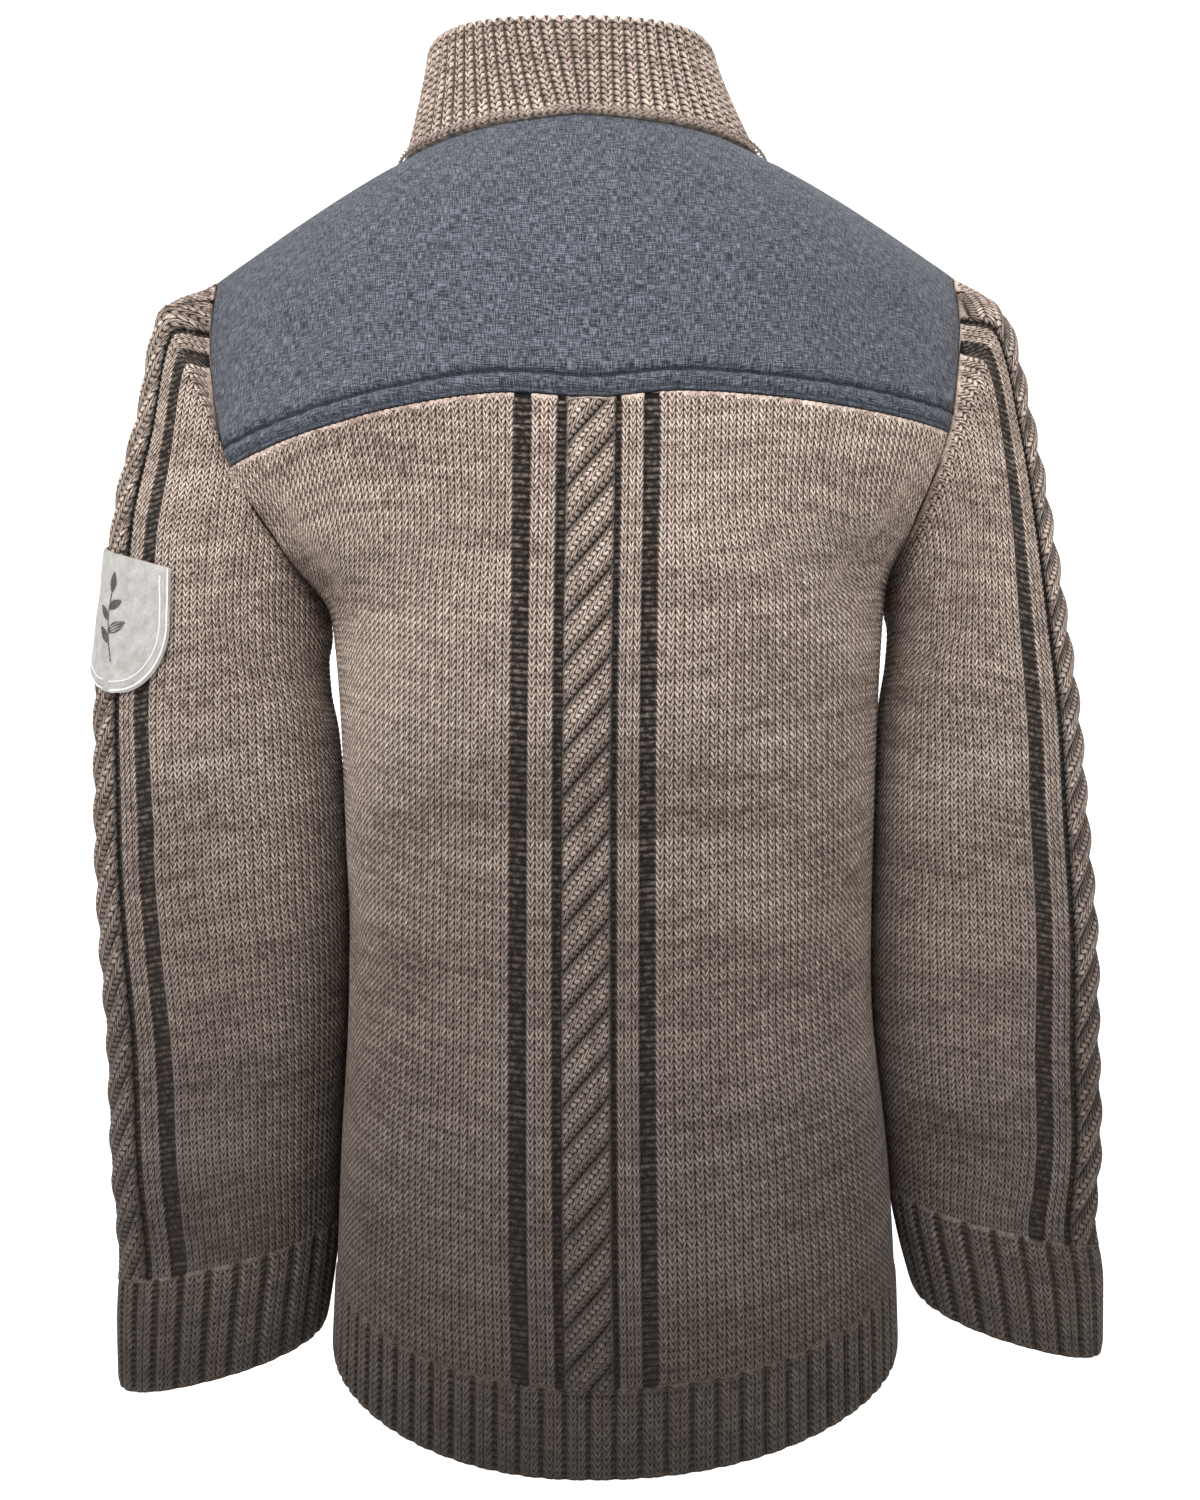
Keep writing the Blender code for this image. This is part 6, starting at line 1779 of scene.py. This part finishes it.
def yarn():
    look = bpy.context.scene.cardigan_knit
    return material_of("brushed_heather_wool", yarn_material, hex_of(look.light), hex_of(look.middle),
                       hex_of(look.deep), hex_of(look.gutter), look.tone_spread)


class CardiganKnit(bpy.types.PropertyGroup):
    light: colour_prop("Light yarn", "Palest tone of the heather wool", "#d3c2b4")
    middle: colour_prop("Middle yarn", "Main tone of the heather wool", "#ab998e")
    deep: colour_prop("Deep yarn", "Darkest tone of the heather wool", "#6b5a51")
    # Colour of the painted shade in the sunk gutters of reverse stitches
    gutter: colour_prop("Gutter yarn", "Soot tone of the reverse stitches", "#2b2624")
    tone_spread: bpy.props.FloatProperty(
        name="Tone spread", description="How far the tones of the courses vary", default=1.0, min=0.0,
        max=2.0)


class CardiganYoke(bpy.types.PropertyGroup):
    light: colour_prop("Pale thread", "Palest slubs of the yoke cloth", "#7d818c")
    middle: colour_prop("Cloth", "Main tone of the yoke cloth", "#40444d")
    deep: colour_prop("Dark thread", "Darkest slubs of the yoke cloth", "#1c1f26")
    # Colour of the painted shade in the yoke's sewn grooves and under its band
    groove_shade: colour_prop("Groove", "Tone of the cloth where the sewing holds it down", "#161a26")
    thread: colour_prop("Topstitch", "Sewing thread of the yoke", "#3f4656")
    stitch_length: bpy.props.FloatProperty(name="Stitch length", description="Length of one topstitch",
                                           default=TOPSTITCH.length, min=0.001, max=0.01, unit="LENGTH")


class CardiganTrim(bpy.types.PropertyGroup):
    felt_light: colour_prop("Pale felt", "Palest tone of the patch", "#c9c6c2")
    felt_deep: colour_prop("Deep felt", "Darkest tone of the patch", "#86817b")
    border: colour_prop("Patch border", "Thread round the patch", "#fbfaf7")
    sprig: colour_prop("Sprig", "Thread of the leaf sprig", "#5d5955")
    horn_light: colour_prop("Pale horn", "Cloudy layers of the buttons", "#3f2a1e")
    horn_deep: colour_prop("Dark horn", "Main tone of the buttons", "#170e0a")
    link_length: bpy.props.FloatProperty(name="Link length", description="Length of one leg of a collar link",
                                         default=LINK.length, min=0.002, max=0.01, unit="LENGTH")


class CARDIGAN_OT_body(bpy.types.Operator):
    """Knit the back with its cable and both fronts"""
    bl_idname = "cardigan.body"
    bl_label = "Body"

    def execute(self, context):
        wool = yarn()
        back = make_back(FORMS.back, FORMS.middles, wool)
        dress(back, ("back",))
        for label, side in SIDES:
            front = make_front("front_%s_knit" % label, FORMS.front, side, FORMS.middles[label], wool)
            dress(front, ("front_" + label,))
        return {"FINISHED"}


class CARDIGAN_OT_yoke(bpy.types.Operator):
    """Cut the woven yoke and sew its padded lower band"""
    bl_idname = "cardigan.yoke"
    bl_label = "Yoke"

    def execute(self, context):
        look = context.scene.cardigan_yoke
        cloth = material_of("melange_wool_cloth", woven_material, hex_of(look.light), hex_of(look.middle),
                            hex_of(look.deep), hex_of(look.groove_shade))
        thread = material_of("spun_topstitch_thread", thread_material, hex_of(look.thread))
        yoke = make_yoke(FORMS.back, FORMS.middles, cloth)
        for index, (path, outs) in enumerate(yoke_sewing(FORMS.back)):
            row = sew("yoke_topstitch_%d" % (index + 1), even_stitches(path, outs, STITCH_SPACING),
                      TOPSTITCH._replace(length=look.stitch_length), thread)
            dress(row)
        dress(yoke, ("yoke",))
        return {"FINISHED"}


class CARDIGAN_OT_sleeves(bpy.types.Operator):
    """Knit both sleeves with their cables and cuffs"""
    bl_idname = "cardigan.sleeves"
    bl_label = "Sleeves"

    def execute(self, context):
        wool = yarn()
        for label, side in SIDES:
            sleeve = make_sleeve("sleeve_%s_knit" % label, FORMS.sleeves[label], side, FORMS.middles[label],
                                 wool)
            dress(sleeve, ("sleeve_" + label,))
        return {"FINISHED"}


class CARDIGAN_OT_collar(bpy.types.Operator):
    """Knit the doubled rib collar and link it to the neckline"""
    bl_idname = "cardigan.collar"
    bl_label = "Collar"

    def execute(self, context):
        wool = yarn()
        look = context.scene.cardigan_knit
        pale = material_of("linking_yarn", thread_material, hex_of(look.middle), 0.9)
        collar = make_collar(FORMS.seam_angles, FORMS.seam_heights, wool)
        links = sew("collar_links", collar_links(FORMS.seam_angles, FORMS.seam_heights),
                    LINK._replace(length=context.scene.cardigan_trim.link_length), pale)
        dress(links)
        dress(collar, ("collar",))
        return {"FINISHED"}


class CARDIGAN_OT_closure(bpy.types.Operator):
    """Knit the two front bands and sew on the buttons"""
    bl_idname = "cardigan.closure"
    bl_label = "Bands and buttons"

    def execute(self, context):
        wool = yarn()
        look = context.scene.cardigan_trim
        under = make_band("band_right_rib", FORMS.front, 0.0, BAND_SHORTER_UNDER, wool)
        dress(under, ("button_band_right",))
        over = make_band("band_left_rib", FORMS.front, OVER_BAND_OFFSET, BAND_SHORTER_OVER, wool)
        dress(over, ("button_band_left",))
        horn = material_of("polished_casein", horn_material, hex_of(look.horn_light), hex_of(look.horn_deep))
        thread = material_of("button_thread", thread_material, "#3a2d25")
        places, along, away = [], [], []
        for index, (place, normal) in enumerate(button_places(FORMS.front)):
            name = "button_%d" % (index + 1)
            button = make_button("turned_" + name, place, normal, horn)
            dress(button, (name,))
            turn = normal.to_track_quat("Z", "Y")
            for side in (-1.0, 1.0):
                for strand in (-STRAND_APART / 2, STRAND_APART / 2):
                    local = Vector((side * HOLE_PLACE + strand, 0.0, BUTTON_THICKNESS * BUTTON_FACE_SHARE))
                    places.append(place + turn @ local)
                    along.append(turn @ Vector((0.0, 1.0, 0.0)))
                    away.append(normal)
        holding = sew("button_threads", (places, along, away), BUTTON_STRAND, thread)
        dress(holding)
        return {"FINISHED"}


class CARDIGAN_OT_patch(bpy.types.Operator):
    """Cut the felt patch, and sew its double border and its plain sprig"""
    bl_idname = "cardigan.patch"
    bl_label = "Sleeve patch"

    def execute(self, context):
        look = context.scene.cardigan_trim
        sleeve = FORMS.sleeves["left"]
        felt = material_of("pressed_wool_felt", felt_material, hex_of(look.felt_light),
                           hex_of(look.felt_deep))
        border_thread = material_of("white_border_thread", thread_material, hex_of(look.border))
        sprig_thread = material_of("grey_satin_thread", thread_material, hex_of(look.sprig))
        patch = make_patch(sleeve, felt)
        sewn = []
        for index, (inset, stitch) in enumerate(BORDER_ROWS):
            path, outs = patch_path(sleeve, patch_outline(inset), PATCH_STITCH_LIFT)
            sewn.append(sew("patch_border_%d" % (index + 1), even_stitches(path, outs, PATCH_STITCH_SPACING),
                            stitch, border_thread))
        sewn.append(sew("patch_sprig", sprig_stitches(sleeve), SPRIG_STITCH, sprig_thread))
        for piece in sewn:
            dress(piece)
        dress(patch, ("patch",))
        return {"FINISHED"}


STAGE_HALF = 4.0
STAGE_FLOOR = -0.86
STAGE_BACK = 1.6
STAGE_CURVE = 0.8
STAGE_TOP = 3.0


# Soft lamps: where each stands and aims, its width and height, and its power in watts
Lamp = namedtuple("Lamp", "name place aim size power")
LAMPS = (
    Lamp("soft_key", (-0.35, -1.05, 0.80), (0.0, -0.1, -0.15), (0.8, 0.6), 18.0),
    Lamp("right_fill", (1.3, -1.2, 0.35), (0.1, 0.0, -0.2), (0.8, 0.8), 9.0),
    Lamp("left_fill", (-1.3, -1.2, 0.35), (-0.1, 0.0, -0.2), (0.8, 0.8), 8.0),
    Lamp("top_wash", (0.0, -0.2, 1.6), (0.0, 0.0, -0.1), (1.2, 1.2), 8.0),
    Lamp("front_wash", (0.3, 1.35, 0.9), (0.0, 0.0, -0.3), (1.4, 1.0), 16.0),
)
WORLD_STRENGTH = 0.26
CAMERA_PLACE = (0.010, -0.935, -0.345)
CAMERA_LENS_MM = 37.66
CAMERA_SENSOR_MM = 36.0


def light_up(lamp):
    light = bpy.data.lights.new(lamp.name, "AREA")
    light.shape = "RECTANGLE"
    light.size, light.size_y = lamp.size
    light.energy = lamp.power
    placed = place_object(lamp.name, light)
    placed.location = lamp.place
    placed.visible_camera = False
    placed.rotation_euler = (Vector(lamp.aim) - Vector(lamp.place)).to_track_quat("-Z", "Y").to_euler()


class CARDIGAN_OT_stage(bpy.types.Operator):
    """Set up the pale floor, the soft light and the camera"""
    bl_idname = "cardigan.stage"
    bl_label = "Stage"

    def execute(self, context):
        profile = [(-STAGE_HALF, STAGE_FLOOR)]
        for turn in np.linspace(0.0, math.pi / 2, 17):
            profile.append((STAGE_BACK - STAGE_CURVE + STAGE_CURVE * math.sin(turn),
                            STAGE_FLOOR + STAGE_CURVE * (1.0 - math.cos(turn))))
        profile.append((STAGE_BACK, STAGE_TOP))
        points = [(x, y, z) for y, z in profile for x in (-STAGE_HALF, STAGE_HALF)]
        faces = [(2 * i, 2 * i + 1, 2 * i + 3, 2 * i + 2) for i in range(len(profile) - 1)]
        mesh = bpy.data.meshes.new("pale_sweep")
        mesh.from_pydata(points, [], faces)
        mesh.materials.append(stage_material("matt_white_board", "#fbfbfb"))
        mesh.shade_smooth()
        place_object("pale_sweep", mesh)

        for lamp in LAMPS:
            light_up(lamp)
        world = bpy.data.worlds.new("even_white")
        world.use_nodes = True
        background = world.node_tree.nodes["Background"]
        background.inputs["Color"].default_value = linear("#ffffff")
        background.inputs["Strength"].default_value = WORLD_STRENGTH
        context.scene.world = world
        context.scene.view_settings.view_transform = "Standard"

        camera = place_object("photo_view", bpy.data.cameras.new("photo_view"))
        camera.location = CAMERA_PLACE
        camera.rotation_euler = (math.pi / 2, 0.0, 0.0)
        camera.data.sensor_width = CAMERA_SENSOR_MM
        camera.data.lens = CAMERA_LENS_MM
        camera.data.clip_start = 0.01
        context.scene.camera = camera
        return {"FINISHED"}


OPERATORS = (CARDIGAN_OT_body, CARDIGAN_OT_yoke, CARDIGAN_OT_sleeves, CARDIGAN_OT_collar, CARDIGAN_OT_closure,
             CARDIGAN_OT_patch, CARDIGAN_OT_stage)


class CARDIGAN_PT_pieces(bpy.types.Panel):
    """The pieces of the cardigan and their looks"""
    bl_idname = "CARDIGAN_PT_pieces"
    bl_label = "Cardigan"
    bl_space_type = "VIEW_3D"
    bl_region_type = "UI"
    bl_category = "Cardigan"

    def draw(self, context):
        for group in (context.scene.cardigan_knit, context.scene.cardigan_yoke, context.scene.cardigan_trim):
            box = self.layout.box()
            for prop in group.bl_rna.properties:
                if prop.identifier not in ("rna_type", "name"):
                    box.prop(group, prop.identifier)
        for operator in OPERATORS:
            self.layout.operator(operator.bl_idname)


GROUPS = {"cardigan_knit": CardiganKnit, "cardigan_yoke": CardiganYoke, "cardigan_trim": CardiganTrim}


def register():
    for label, group in GROUPS.items():
        bpy.utils.register_class(group)
        setattr(bpy.types.Scene, label, bpy.props.PointerProperty(type=group))
    for operator in OPERATORS:
        bpy.utils.register_class(operator)
    bpy.utils.register_class(CARDIGAN_PT_pieces)


def unregister():
    bpy.utils.unregister_class(CARDIGAN_PT_pieces)
    for operator in reversed(OPERATORS):
        bpy.utils.unregister_class(operator)
    for label, group in GROUPS.items():
        delattr(bpy.types.Scene, label)
        bpy.utils.unregister_class(group)


def main():
    register()
    for step in ("body", "yoke", "sleeves", "collar", "closure", "patch", "stage"):
        getattr(bpy.ops.cardigan, step)()


if __name__ == "__main__":
    main()
